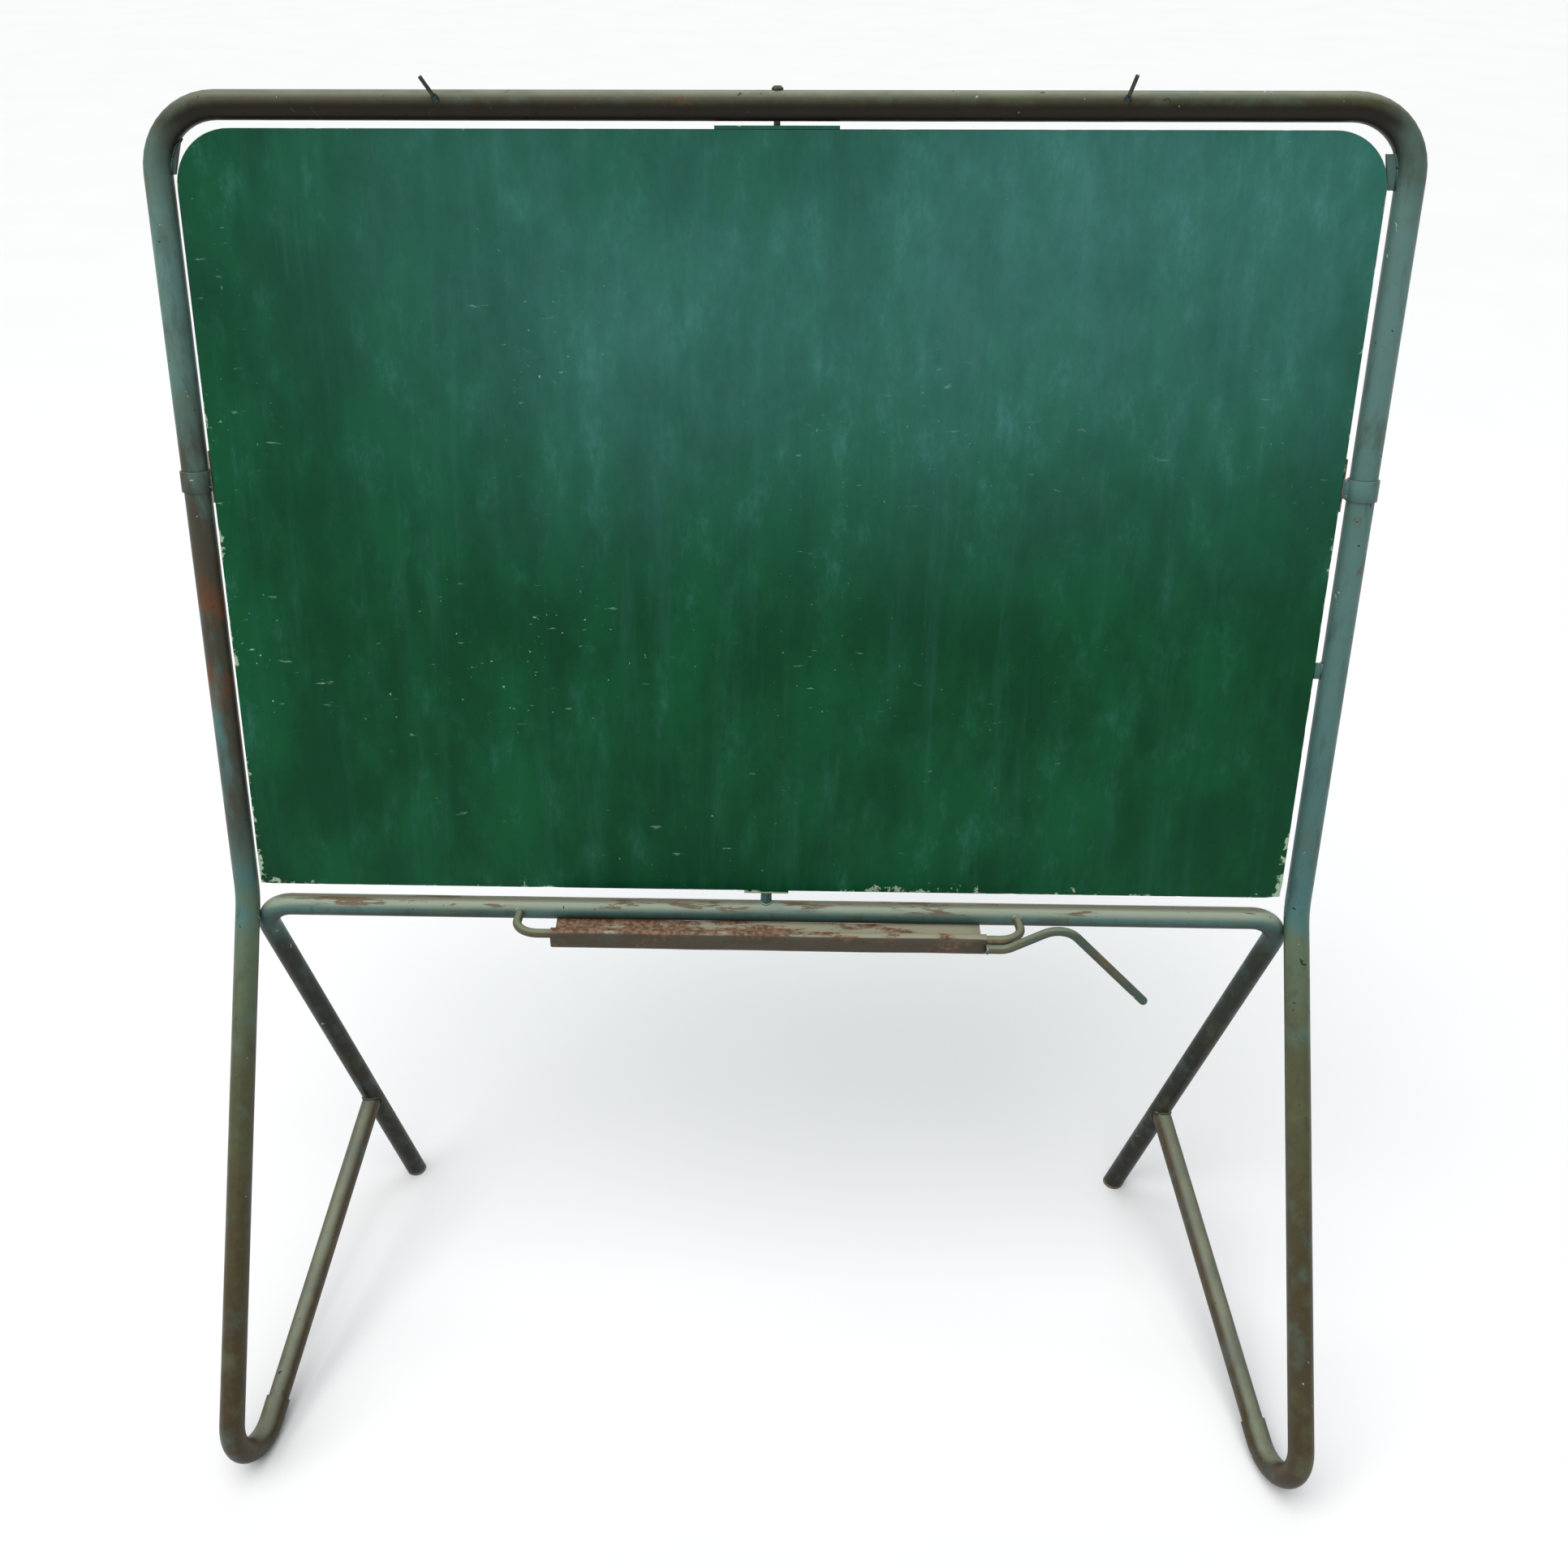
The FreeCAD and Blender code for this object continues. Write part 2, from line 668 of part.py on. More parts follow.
def post_lugs():
    """Plate lugs welded to the insides of the posts, clear of the board's sweep."""
    post = doc.addObject("Part::Feature", "post_bar")
    post.Shape = frame_bar(size("weld_gap"))
    post.Placement = LEAN.inverse()
    under_rail = "Sizes.upper_length - Sizes.frame_od / 2"
    lugs = (
        (-1, "left_upper_lug", under_rail + " - Sizes.left_lug_drop", "Sizes.lug_height",
         "Sizes.left_lug_reach"),
        (1, "right_upper_lug", under_rail + " - Sizes.right_lug_drop", "Sizes.lug_height",
         "Sizes.right_lug_reach"),
        (1, "right_lower_lug", "Sizes.low_lug_top", "Sizes.low_lug_height", "0"),
    )
    for side, name, top, height, reach in lugs:
        root = "%d * Sizes.post_spacing / 2" % side
        edge = "Sizes.board_shift + %d * (Sizes.board_half_width + Sizes.lug_clearance)" % side
        base = top + " - " + height
        blank = flat_plate(name, [
            (root, base),
            (root, top),
            (edge + " - %d * %s" % (side, reach), top),
            (edge, base),
        ], "Sizes.lug_thick")
        keep(cut(name + "_cut", blank, post), name, UPPER)


def map_pegs():
    """Two short wire pegs in weld bosses on the top rail's upper front, splayed outward."""
    centre_line = Vector(0, 0, size("upper_length"))
    seat_angle = math.radians(size("peg_seat_angle"))
    rise = math.radians(size("peg_rise_angle"))
    seat = Vector(0, -math.cos(seat_angle), math.sin(seat_angle))
    rail = cylinder(
        "peg_rail", "Sizes.frame_od / 2 + Sizes.weld_gap", "Sizes.post_spacing",
        centre_line - Vector(HALF_SPACING, 0, 0), Vector(1, 0, 0))
    for side, name in ((-1, "left_map_peg"), (1, "right_map_peg")):
        splay = math.radians(size(name.replace("map_peg", "peg_splay")))
        level = Vector(side * math.sin(splay), -math.cos(rise) * math.cos(splay), 0)
        way = level + Vector(0, 0, math.sin(rise) * math.cos(splay))
        start = centre_line + Vector(side * size("peg_offset"), 0, 0)
        start += seat * FRAME_R - way * size("peg_root")
        wire = cylinder(
            name + "_wire", "Sizes.peg_radius",
            "Sizes.peg_root + Sizes.peg_boss_rise + Sizes.peg_length", start, way)
        boss = cylinder(
            name + "_boss", "Sizes.peg_boss_radius", "Sizes.peg_root + Sizes.peg_boss_rise",
            start, way)
        keep(cut(name + "_cut", joined(name + "_blank", [wire, boss]), rail), name, UPPER)


# ---------------------------------------------------------------------------
# chalk tray
# ---------------------------------------------------------------------------

ROD_LINE = RAIL_CENTRE + Vector(0, -size("tray_rod_reach"), size("tray_rod_rise"))


def rail_bar():
    """The lower rail as a solid bar, to shape what is welded to it."""
    half = Vector(HALF_SPACING / 2, 0, 0)
    return rod_between(RAIL_CENTRE - half, RAIL_CENTRE + half, REAR_R + size("weld_gap"))


def tray_rod():
    """The round rod that loops forward from the rail and carries the tray's lip."""
    half = size("tray_length") / 2 + size("tray_rod_overhang")
    corner = size("tray_rod_corner")
    points = [
        RAIL_CENTRE + Vector(half, 0, 0),
        ROD_LINE + Vector(half, 0, 0),
        ROD_LINE + Vector(-half, 0, 0),
        RAIL_CENTRE + Vector(-half, 0, 0),
    ]
    bar = swept_round(points, [corner, corner], ROD_R)
    solid_feature("tray_rod", bar.cut(rail_bar()), STAND)


def tray_section():
    """The tray's folded sheet as an open line in the YZ plane, from the rail to the lip."""
    hem = ROD_R + size("fit_gap")
    floor_z = RAIL_CENTRE.z - size("tray_floor_drop")
    y_back = RAIL_CENTRE.y - size("tray_back_reach")
    front_y = ROD_LINE.y - hem
    low = Vector(0, front_y + size("tray_chamfer"), floor_z)
    high = Vector(0, front_y, floor_z + size("tray_chamfer"))
    under_rail = math.radians(size("tray_seat_angle"))
    seat = Vector(0, -math.sin(under_rail), -math.cos(under_rail))
    seat = RAIL_CENTRE + seat * (REAR_R + size("weld_gap"))
    lip_front = Vector(0, front_y, ROD_LINE.z)
    lip_back = Vector(0, ROD_LINE.y + hem, ROD_LINE.z)
    lip_top = ROD_LINE + Vector(0, 0, hem)
    corners = [seat, Vector(0, y_back, floor_z), low, high, lip_front]
    edges = []
    for start, end in zip(corners, corners[1:]):
        edges.append(Part.LineSegment(start, end).toShape())
    edges.append(Part.Arc(lip_front, lip_top, lip_back).toShape())
    return Part.Wire(edges)


def chalk_tray():
    """A folded sheet trough, hemmed over the rod and tucked under the rail."""
    strip = tray_section().makeOffset2D(-size("tray_sheet"), 0, True, True)
    tray = strip.extrude(Vector(size("tray_length"), 0, 0))
    tray.translate(Vector(-size("tray_length") / 2, 0, 0))
    solid_feature("chalk_tray", tray.cut(rail_bar()), STAND)


def duster_hanger():
    """A bent rod from the end of the tray's rod, over a hump and down to a round free end."""
    angle = math.radians(size("hanger_weld_angle"))
    reach = 2 * ROD_R + size("weld_gap")
    line = ROD_LINE - Vector(0, math.sin(angle), math.cos(angle)) * reach
    tray_end = size("tray_length") / 2
    rise_at = tray_end + size("hanger_level_run")
    peak_at = rise_at + size("hanger_rising_run")
    points = [
        Vector(tray_end + size("hanger_start_gap"), line.y, line.z),
        Vector(rise_at, line.y, line.z),
        Vector(peak_at, line.y, RAIL_CENTRE.z + size("hanger_peak_rise")),
        Vector(peak_at + size("hanger_falling_run"), line.y,
               RAIL_CENTRE.z - size("hanger_tip_drop")),
    ]
    radii = [size("hanger_entry_radius"), size("hanger_peak_radius")]
    bar = swept_round(points, radii, ROD_R)
    bar = bar.fuse(Part.makeSphere(ROD_R, points[-1])).removeSplitter()
    solid_feature("duster_hanger", bar, STAND)


# ---------------------------------------------------------------------------
# build, test and write
# ---------------------------------------------------------------------------

def check_and_write():
    """Test every object and every sub-part, then write one STEP file for each."""
    doc.recompute()
    for thing in doc.Objects:
        if "Invalid" in thing.State or "Error" in thing.State:
            raise RuntimeError("%s did not compute" % thing.Label)
    for node in nodes:
        if node.Shape.isNull() or not node.Shape.isValid() or not node.Shape.Solids:
            raise RuntimeError("%s has no valid solid" % node.Label)
    os.makedirs("parts", exist_ok=True)
    for node in nodes:
        node.Shape.exportStep("parts/%s.step" % node.Label)


front_frame()
rear_frame()
braces()
foot_caps()
pivots()
blackboard()
collars()
post_lugs()
map_pegs()
tray_rod()
chalk_tray()
duster_hanger()
check_and_write()
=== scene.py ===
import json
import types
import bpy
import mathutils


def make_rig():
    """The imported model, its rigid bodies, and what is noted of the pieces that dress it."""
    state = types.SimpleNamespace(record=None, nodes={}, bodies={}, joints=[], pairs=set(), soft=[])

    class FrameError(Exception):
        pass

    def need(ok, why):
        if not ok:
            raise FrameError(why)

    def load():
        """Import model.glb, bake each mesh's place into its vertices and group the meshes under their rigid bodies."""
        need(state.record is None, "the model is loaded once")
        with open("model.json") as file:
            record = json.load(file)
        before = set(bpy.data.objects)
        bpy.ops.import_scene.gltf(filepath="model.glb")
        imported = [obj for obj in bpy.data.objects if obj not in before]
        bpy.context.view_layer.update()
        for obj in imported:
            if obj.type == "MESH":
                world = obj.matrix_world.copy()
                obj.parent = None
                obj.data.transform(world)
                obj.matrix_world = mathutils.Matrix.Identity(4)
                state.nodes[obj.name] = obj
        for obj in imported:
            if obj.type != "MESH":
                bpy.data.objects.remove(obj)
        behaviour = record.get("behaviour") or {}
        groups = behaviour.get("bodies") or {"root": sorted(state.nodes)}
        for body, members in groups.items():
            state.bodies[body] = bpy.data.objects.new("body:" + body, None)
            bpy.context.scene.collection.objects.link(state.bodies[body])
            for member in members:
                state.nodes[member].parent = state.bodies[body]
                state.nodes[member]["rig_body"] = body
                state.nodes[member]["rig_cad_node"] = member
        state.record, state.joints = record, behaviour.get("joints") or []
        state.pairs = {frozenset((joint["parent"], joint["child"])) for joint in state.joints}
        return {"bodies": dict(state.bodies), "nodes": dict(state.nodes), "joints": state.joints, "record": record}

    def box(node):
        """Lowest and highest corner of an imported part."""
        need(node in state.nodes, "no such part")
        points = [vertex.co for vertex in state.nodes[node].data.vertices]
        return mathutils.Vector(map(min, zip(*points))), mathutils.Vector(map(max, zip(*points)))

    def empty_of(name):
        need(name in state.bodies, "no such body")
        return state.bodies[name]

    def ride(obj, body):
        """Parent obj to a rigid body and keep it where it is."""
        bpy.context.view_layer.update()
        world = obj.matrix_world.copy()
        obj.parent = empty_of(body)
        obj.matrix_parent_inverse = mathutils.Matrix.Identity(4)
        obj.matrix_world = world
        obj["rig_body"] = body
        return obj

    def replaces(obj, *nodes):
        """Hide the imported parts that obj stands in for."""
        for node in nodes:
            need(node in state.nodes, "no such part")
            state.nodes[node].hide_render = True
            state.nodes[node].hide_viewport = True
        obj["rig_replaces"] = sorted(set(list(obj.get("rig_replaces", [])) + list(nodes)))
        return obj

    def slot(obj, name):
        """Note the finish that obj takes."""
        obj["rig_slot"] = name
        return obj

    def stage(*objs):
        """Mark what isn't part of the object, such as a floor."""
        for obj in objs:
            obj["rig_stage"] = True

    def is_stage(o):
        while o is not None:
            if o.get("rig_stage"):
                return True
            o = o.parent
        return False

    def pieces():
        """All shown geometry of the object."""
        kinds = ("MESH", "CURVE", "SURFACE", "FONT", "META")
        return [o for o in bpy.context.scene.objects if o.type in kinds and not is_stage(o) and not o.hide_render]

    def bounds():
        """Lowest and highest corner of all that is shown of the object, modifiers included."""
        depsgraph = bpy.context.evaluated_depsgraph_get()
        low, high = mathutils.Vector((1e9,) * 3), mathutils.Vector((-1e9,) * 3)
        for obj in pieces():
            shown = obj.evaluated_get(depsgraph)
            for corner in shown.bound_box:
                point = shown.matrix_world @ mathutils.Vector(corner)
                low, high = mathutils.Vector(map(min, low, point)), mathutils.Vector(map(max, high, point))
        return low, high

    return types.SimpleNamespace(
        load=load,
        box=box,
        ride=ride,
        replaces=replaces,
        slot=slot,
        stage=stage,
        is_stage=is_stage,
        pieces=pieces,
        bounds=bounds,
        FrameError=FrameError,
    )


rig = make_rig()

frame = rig.load()
import json
import math

import bmesh
import bpy
from mathutils import Matrix, Vector, noise
from mathutils.bvhtree import BVHTree

bl_info = {
    "name": "School blackboard on a tube stand",
    "version": (1, 0, 0),
    "blender": (4, 5, 0),
    "location": "3D View > Sidebar > Blackboard",
    "description": "Builds the looks of a turning green blackboard in its painted steel stand",
    "category": "Object",
}

CAD_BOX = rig.bounds()
NODES = frame["nodes"]
HINGE = frame["joints"][0]
SIZE_FILE = "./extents.json"
MM = 0.001
TAU = 2 * math.pi


def srgb(red, green, blue):
    """A screen colour, 0 to 255, as the linear colour that a shader takes."""
    steps = []
    for value in (red, green, blue):
        part = value / 255
        steps.append(part / 12.92 if part <= 0.04045 else ((part + 0.055) / 1.055) ** 2.4)
    return tuple(steps)


# ---------------------------------------------------------------- lean of the board

def frame_lean():
    """Turn from the board's own upright frame (x across, y through, z up the board) to the stand."""
    up = Vector(HINGE["axis"]).normalized()
    across = Vector((1, 0, 0))
    through = up.cross(across)
    turn = Matrix((across, through, up)).transposed().to_4x4()
    return Matrix.Translation(Vector(HINGE["pos_m"])) @ turn


HINGE_PLACE = Vector(HINGE["pos_m"])
LEAN = frame_lean()
UNLEAN = LEAN.inverted()
LEAN_ANGLE = math.asin(Vector(HINGE["axis"]).normalized().y)


def board_box(node):
    """Lowest and highest corner of a CAD node, measured in the board's own frame."""
    points = [UNLEAN @ v.co for v in NODES[node].data.vertices]
    low = Vector([min(p[i] for p in points) for i in range(3)])
    high = Vector([max(p[i] for p in points) for i in range(3)])
    return low, high


# ---------------------------------------------------------------- sizes and colours

class TT_BoardLook(bpy.types.PropertyGroup):
    """Sizes and colours of the writing board."""
    edge_round: bpy.props.FloatProperty(
        name="Edge rounding", description="Radius worn on to the board's edges",
        default=1.1 * MM, unit="LENGTH")
    corner_round: bpy.props.FloatProperty(
        name="Top corner radius", description="Radius of the two upper corners",
        default=44 * MM, unit="LENGTH")
    chip_depth: bpy.props.FloatProperty(
        name="Chip depth", description="How far knocks have eaten into the board's edge",
        default=1.6 * MM, unit="LENGTH")
    green: bpy.props.FloatVectorProperty(
        name="Writing green", description="Colour of the writing paint",
        default=srgb(8, 78, 45), subtype="COLOR")
    deep_green: bpy.props.FloatVectorProperty(
        name="Deep green", description="Colour of the writing paint where it is best kept",
        default=srgb(3, 60, 33), subtype="COLOR")
    # This colour is also the painted reflection over the board's upper part.
    chalk: bpy.props.FloatVectorProperty(
        name="Chalk haze", description="Colour of rubbed-in chalk",
        default=srgb(72, 130, 126), subtype="COLOR")
    bare: bpy.props.FloatVectorProperty(
        name="Bare edge", description="Colour of primer and fibre where the paint is chipped",
        default=srgb(168, 190, 160), subtype="COLOR")


class TT_StandLook(bpy.types.PropertyGroup):
    """Sizes and colours of the tube stand."""
    bead: bpy.props.FloatProperty(
        name="Weld bead", description="Radius of the weld beads",
        default=1.5 * MM, unit="LENGTH")
    teal: bpy.props.FloatVectorProperty(
        name="Blue green paint", description="Stand paint where it is cleanest",
        default=srgb(84, 120, 114), subtype="COLOR")
    olive: bpy.props.FloatVectorProperty(
        name="Olive paint", description="Stand paint where it has yellowed",
        default=srgb(88, 98, 70), subtype="COLOR")
    brown: bpy.props.FloatVectorProperty(
        name="Brown film", description="Rust film on the legs",
        default=srgb(64, 52, 34), subtype="COLOR")
    rust: bpy.props.FloatVectorProperty(
        name="Rust", description="Open rust",
        default=srgb(104, 62, 38), subtype="COLOR")
    # This colour is also the painted highlight on the tubes' up-facing surfaces.
    worn: bpy.props.FloatVectorProperty(
        name="Worn pale paint", description="Paint rubbed pale by hands and chalk",
        default=srgb(134, 142, 120), subtype="COLOR")


class TT_StageLook(bpy.types.PropertyGroup):
    """Camera, lights and floor."""
    lens: bpy.props.FloatProperty(
        name="Lens", description="Focal length on a 36 mm wide sensor",
        default=33.54, unit="CAMERA")
    sky_strength: bpy.props.FloatProperty(
        name="Overhead daylight", description="Strength of the wide soft light from above",
        default=2.45)
    panel_power: bpy.props.FloatProperty(
        name="Ceiling panel", description="Power of the cool panel that the board's top reflects",
        default=9.0, unit="POWER")
    fill_power: bpy.props.FloatProperty(
        name="Fill light", description="Power of the fill light from the left",
        default=8.0, unit="POWER")
    floor: bpy.props.FloatVectorProperty(
        name="Floor colour", description="Colour of the pale floor",
        default=(0.88, 0.875, 0.87), subtype="COLOR")


# ---------------------------------------------------------------- finishes

class Finish:
    """A procedural finish, put together from layers of noise in the object's own coordinates."""

    def __init__(self, name):
        self.material = bpy.data.materials.new(name)
        self.material.use_nodes = True
        self.tree = self.material.node_tree
        self.shader = self.tree.nodes["Principled BSDF"]
        self.place = self.node("ShaderNodeTexCoord").outputs["Object"]
        self.normal = None

    def node(self, kind, inputs=None, **settings):
        made = self.tree.nodes.new(kind)
        for key, value in settings.items():
            setattr(made, key, value)
        for key, value in (inputs or {}).items():
            socket = made.inputs[key]
            if isinstance(value, bpy.types.NodeSocket):
                self.tree.links.new(value, socket)
            elif socket.type == "RGBA":
                socket.default_value = (*value[:3], 1)
            else:
                socket.default_value = value
        return made

    def coords(self, scale=(1, 1, 1), turn=(0, 0, 0), shift=(0, 0, 0)):
        return self.node("ShaderNodeMapping", {
            "Vector": self.place, "Scale": scale, "Rotation": turn, "Location": shift}).outputs[0]

    def grain(self, scale, detail=3.0, rough=0.55, vector=None, bend=0.0):
        return self.node("ShaderNodeTexNoise", {
            "Vector": vector or self.place, "Scale": scale, "Detail": detail,
            "Roughness": rough, "Distortion": bend}).outputs["Fac"]

    def part(self, axis, vector=None):
        return self.node("ShaderNodeSeparateXYZ", {0: vector or self.place}).outputs[axis]

    def ramp(self, value, low, high, start=0.0, end=1.0):
        """The value between low and high, spread over start to end and held beyond them."""
        return self.node("ShaderNodeMapRange", {
            "Value": value, "From Min": low, "From Max": high,
            "To Min": start, "To Max": end}, interpolation_type="SMOOTHSTEP").outputs[0]

    def sum(self, first, second, how="ADD"):
        return self.node("ShaderNodeMath", {0: first, 1: second}, operation=how).outputs[0]

    def times(self, *values):
        result = values[0]
        for value in values[1:]:
            result = self.sum(result, value, "MULTIPLY")
        return result

    def most(self, *values):
        result = values[0]
        for value in values[1:]:
            result = self.sum(result, value, "MAXIMUM")
        return result

    def over(self, mask, under, top):
        """One colour laid over another through a mask."""
        return self.node("ShaderNodeMix", {
            "Factor": mask, 6: under, 7: top}, data_type="RGBA").outputs[2]

    def facing(self, axis):
        return self.part(axis, self.node("ShaderNodeNewGeometry").outputs["Normal"])

    def bump(self, height, distance, strength=1.0):
        inputs = {"Height": height, "Distance": distance, "Strength": strength}
        if self.normal:
            inputs["Normal"] = self.normal
        self.normal = self.node("ShaderNodeBump", inputs).outputs[0]

    def close(self, colour, rough, **constants):
        self.tree.links.new(colour, self.shader.inputs["Base Color"])
        self.tree.links.new(rough, self.shader.inputs["Roughness"])
        if self.normal:
            self.tree.links.new(self.normal, self.shader.inputs["Normal"])
        for key, value in constants.items():
            self.shader.inputs[key.replace("_", " ")].default_value = value
        return self.material


def band(finish, value, centre, half, soft):
    """A mask that is 1 within half of the centre and fades out over soft."""
    away = finish.sum(finish.sum(value, centre, "SUBTRACT"), 0.0, "ABSOLUTE")
    return finish.ramp(away, half, half + soft, 1.0, 0.0)


def tube_enamel(name, look, bands, under_shade, worn_rail=None, stained_side=0, shaded_from=None):
    """Old stand enamel on a tube: its colour drifts with height through the bands, low to high.

    It is grimed below, rubbed paler on top and pitted with rust.  One post can be stained, the
    top rail sooted underneath from a height up, and the lower rail's top worn through."""
    f = Finish(name)
    across, height = f.part("X"), f.part("Z")
    cloud = f.grain(7.0, 4.0, 0.6)
    patch = f.grain(24.0, 5.0, 0.65)
    up = f.facing("Z")
    wavy = f.sum(height, f.ramp(cloud, 0.3, 0.7, -0.035, 0.035))
    colour = bands[0][1]
    for (low, _), (high, tone) in zip(bands, bands[1:]):
        colour = f.over(f.ramp(wavy, low, high), colour, tone)
    # yellowed and blue-green clouds
    colour = f.over(f.ramp(patch, 0.50, 0.72, 0.0, 0.45), colour, look.olive)
    colour = f.over(f.ramp(patch, 0.50, 0.30, 0.0, 0.30), colour, look.teal)
    # rust film down one post
    if stained_side:
        side = f.ramp(f.times(across, float(stained_side)), 0.40, 0.44)
        stretch = f.grain(16.0, 5.0, 0.65, f.coords((1, 1, 0.25), shift=(0.3, 0, 0.1)))
        stain = f.times(side, band(f, height, 0.69, 0.14, 0.09), f.ramp(stretch, 0.34, 0.52))
        colour = f.over(f.times(stain, 0.9), colour, look.brown)
        sore = f.times(side, band(f, height, 0.69, 0.03, 0.05), f.ramp(patch, 0.50, 0.60))
        colour = f.over(f.times(sore, 0.75), colour, look.rust)
    # settled dirt in long marks, and rust blooms
    streaks = f.grain(90.0, 4.0, 0.65, f.coords((1, 1, 0.18)))
    colour = f.over(f.ramp(streaks, 0.50, 0.72, 0.0, 0.35), colour, srgb(40, 44, 30))
    bloom = f.ramp(f.grain(34.0, 6.0, 0.72), 0.64, 0.70)
    colour = f.over(f.times(bloom, 0.65), colour, look.rust)
    # paler on top from handled wear and a painted highlight, and painted shade underneath
    colour = f.over(f.times(f.ramp(up, 0.55, 1.0), f.ramp(patch, 0.25, 0.6, 0.35, 0.75)),
                    colour, look.worn)
    under = f.ramp(up, 0.35, -0.55)
    colour = f.over(f.times(under, under_shade), colour, srgb(26, 20, 10))
    # painted shade: the top rail's underside is darkened from a height up
    if shaded_from:
        under_rail_shade = f.times(f.ramp(height, shaded_from, shaded_from + 0.012), f.ramp(up, 0.62, -0.05))
        colour = f.over(f.times(under_rail_shade, 0.92), colour, srgb(22, 14, 5))
    flake = None
    if worn_rail:
        on_rail = band(f, height, worn_rail, 0.013, 0.006)
        top = f.ramp(up, 0.20, 0.80)
        scrape = f.grain(42.0, 6.0, 0.68, f.coords((0.16, 1, 1)))
        fine = f.grain(120.0, 5.0, 0.7, f.coords((0.14, 1, 1)))
        rubbed = f.times(on_rail, top, f.ramp(scrape, 0.28, 0.48, 0.35, 0.95))
        colour = f.over(rubbed, colour, srgb(146, 156, 138))
        middle = band(f, across, -0.06, 0.22, 0.20)
        flake = f.times(on_rail, top, f.ramp(f.sum(f.times(middle, 0.07), fine), 0.60, 0.66))
        colour = f.over(f.times(flake, 0.9), colour, srgb(100, 76, 54))
        crest = f.times(on_rail, f.ramp(up, 0.88, 0.99), f.ramp(scrape, 0.35, 0.5))
        colour = f.over(f.times(crest, 0.6), colour, srgb(92, 78, 56))
    # knocks: pale primer and dark steel
    knock = f.grain(120.0, 2.0, 0.5, bend=0.8)
    colour = f.over(f.ramp(knock, 0.755, 0.77), colour, srgb(160, 170, 150))
    colour = f.over(f.ramp(knock, 0.275, 0.262), colour, srgb(40, 44, 34))
    rough = f.sum(f.ramp(patch, 0.3, 0.7, 0.32, 0.48), f.times(bloom, 0.25))
    f.bump(f.grain(150.0, 4.0, 0.6), 0.0003, 0.5)
    f.bump(f.sum(bloom, f.ramp(knock, 0.70, 0.75), "SUBTRACT"), 0.0003, 0.6)
    if flake:
        f.bump(f.times(flake, -1.0), 0.0003, 0.7)
    return f.close(colour, rough, Specular_IOR_Level=0.22)


def tray_enamel():
    """Tray sheet: rust with islands of old cream paint left in the trough."""
    f = Finish("tray_rusted_sheet")
    along = f.coords((0.35, 1, 1))
    island = f.grain(58.0, 6.0, 0.66, along)
    fine = f.grain(220.0, 4.0, 0.6)
    rusty = f.over(f.ramp(fine, 0.38, 0.64), srgb(84, 62, 44), srgb(138, 106, 80))
    left = f.ramp(f.part("X"), -0.16, 0.19, -0.10, 0.09)
    paint = f.ramp(f.sum(island, left), 0.47, 0.55)
    inside = f.ramp(f.facing("Z"), -0.1, 0.35)
    colour = f.over(f.times(paint, inside), rusty, srgb(144, 142, 120))
    outside = f.ramp(f.facing("Y"), -0.55, -0.80)
    colour = f.over(f.times(outside, f.ramp(island, 0.30, 0.5, 0.5, 0.95)), colour, srgb(54, 48, 32))
    f.bump(paint, 0.0003, 0.8)
    f.bump(fine, 0.0004, 0.6)
    rough = f.ramp(island, 0.3, 0.7, 0.82, 0.58)
    return f.close(colour, rough)


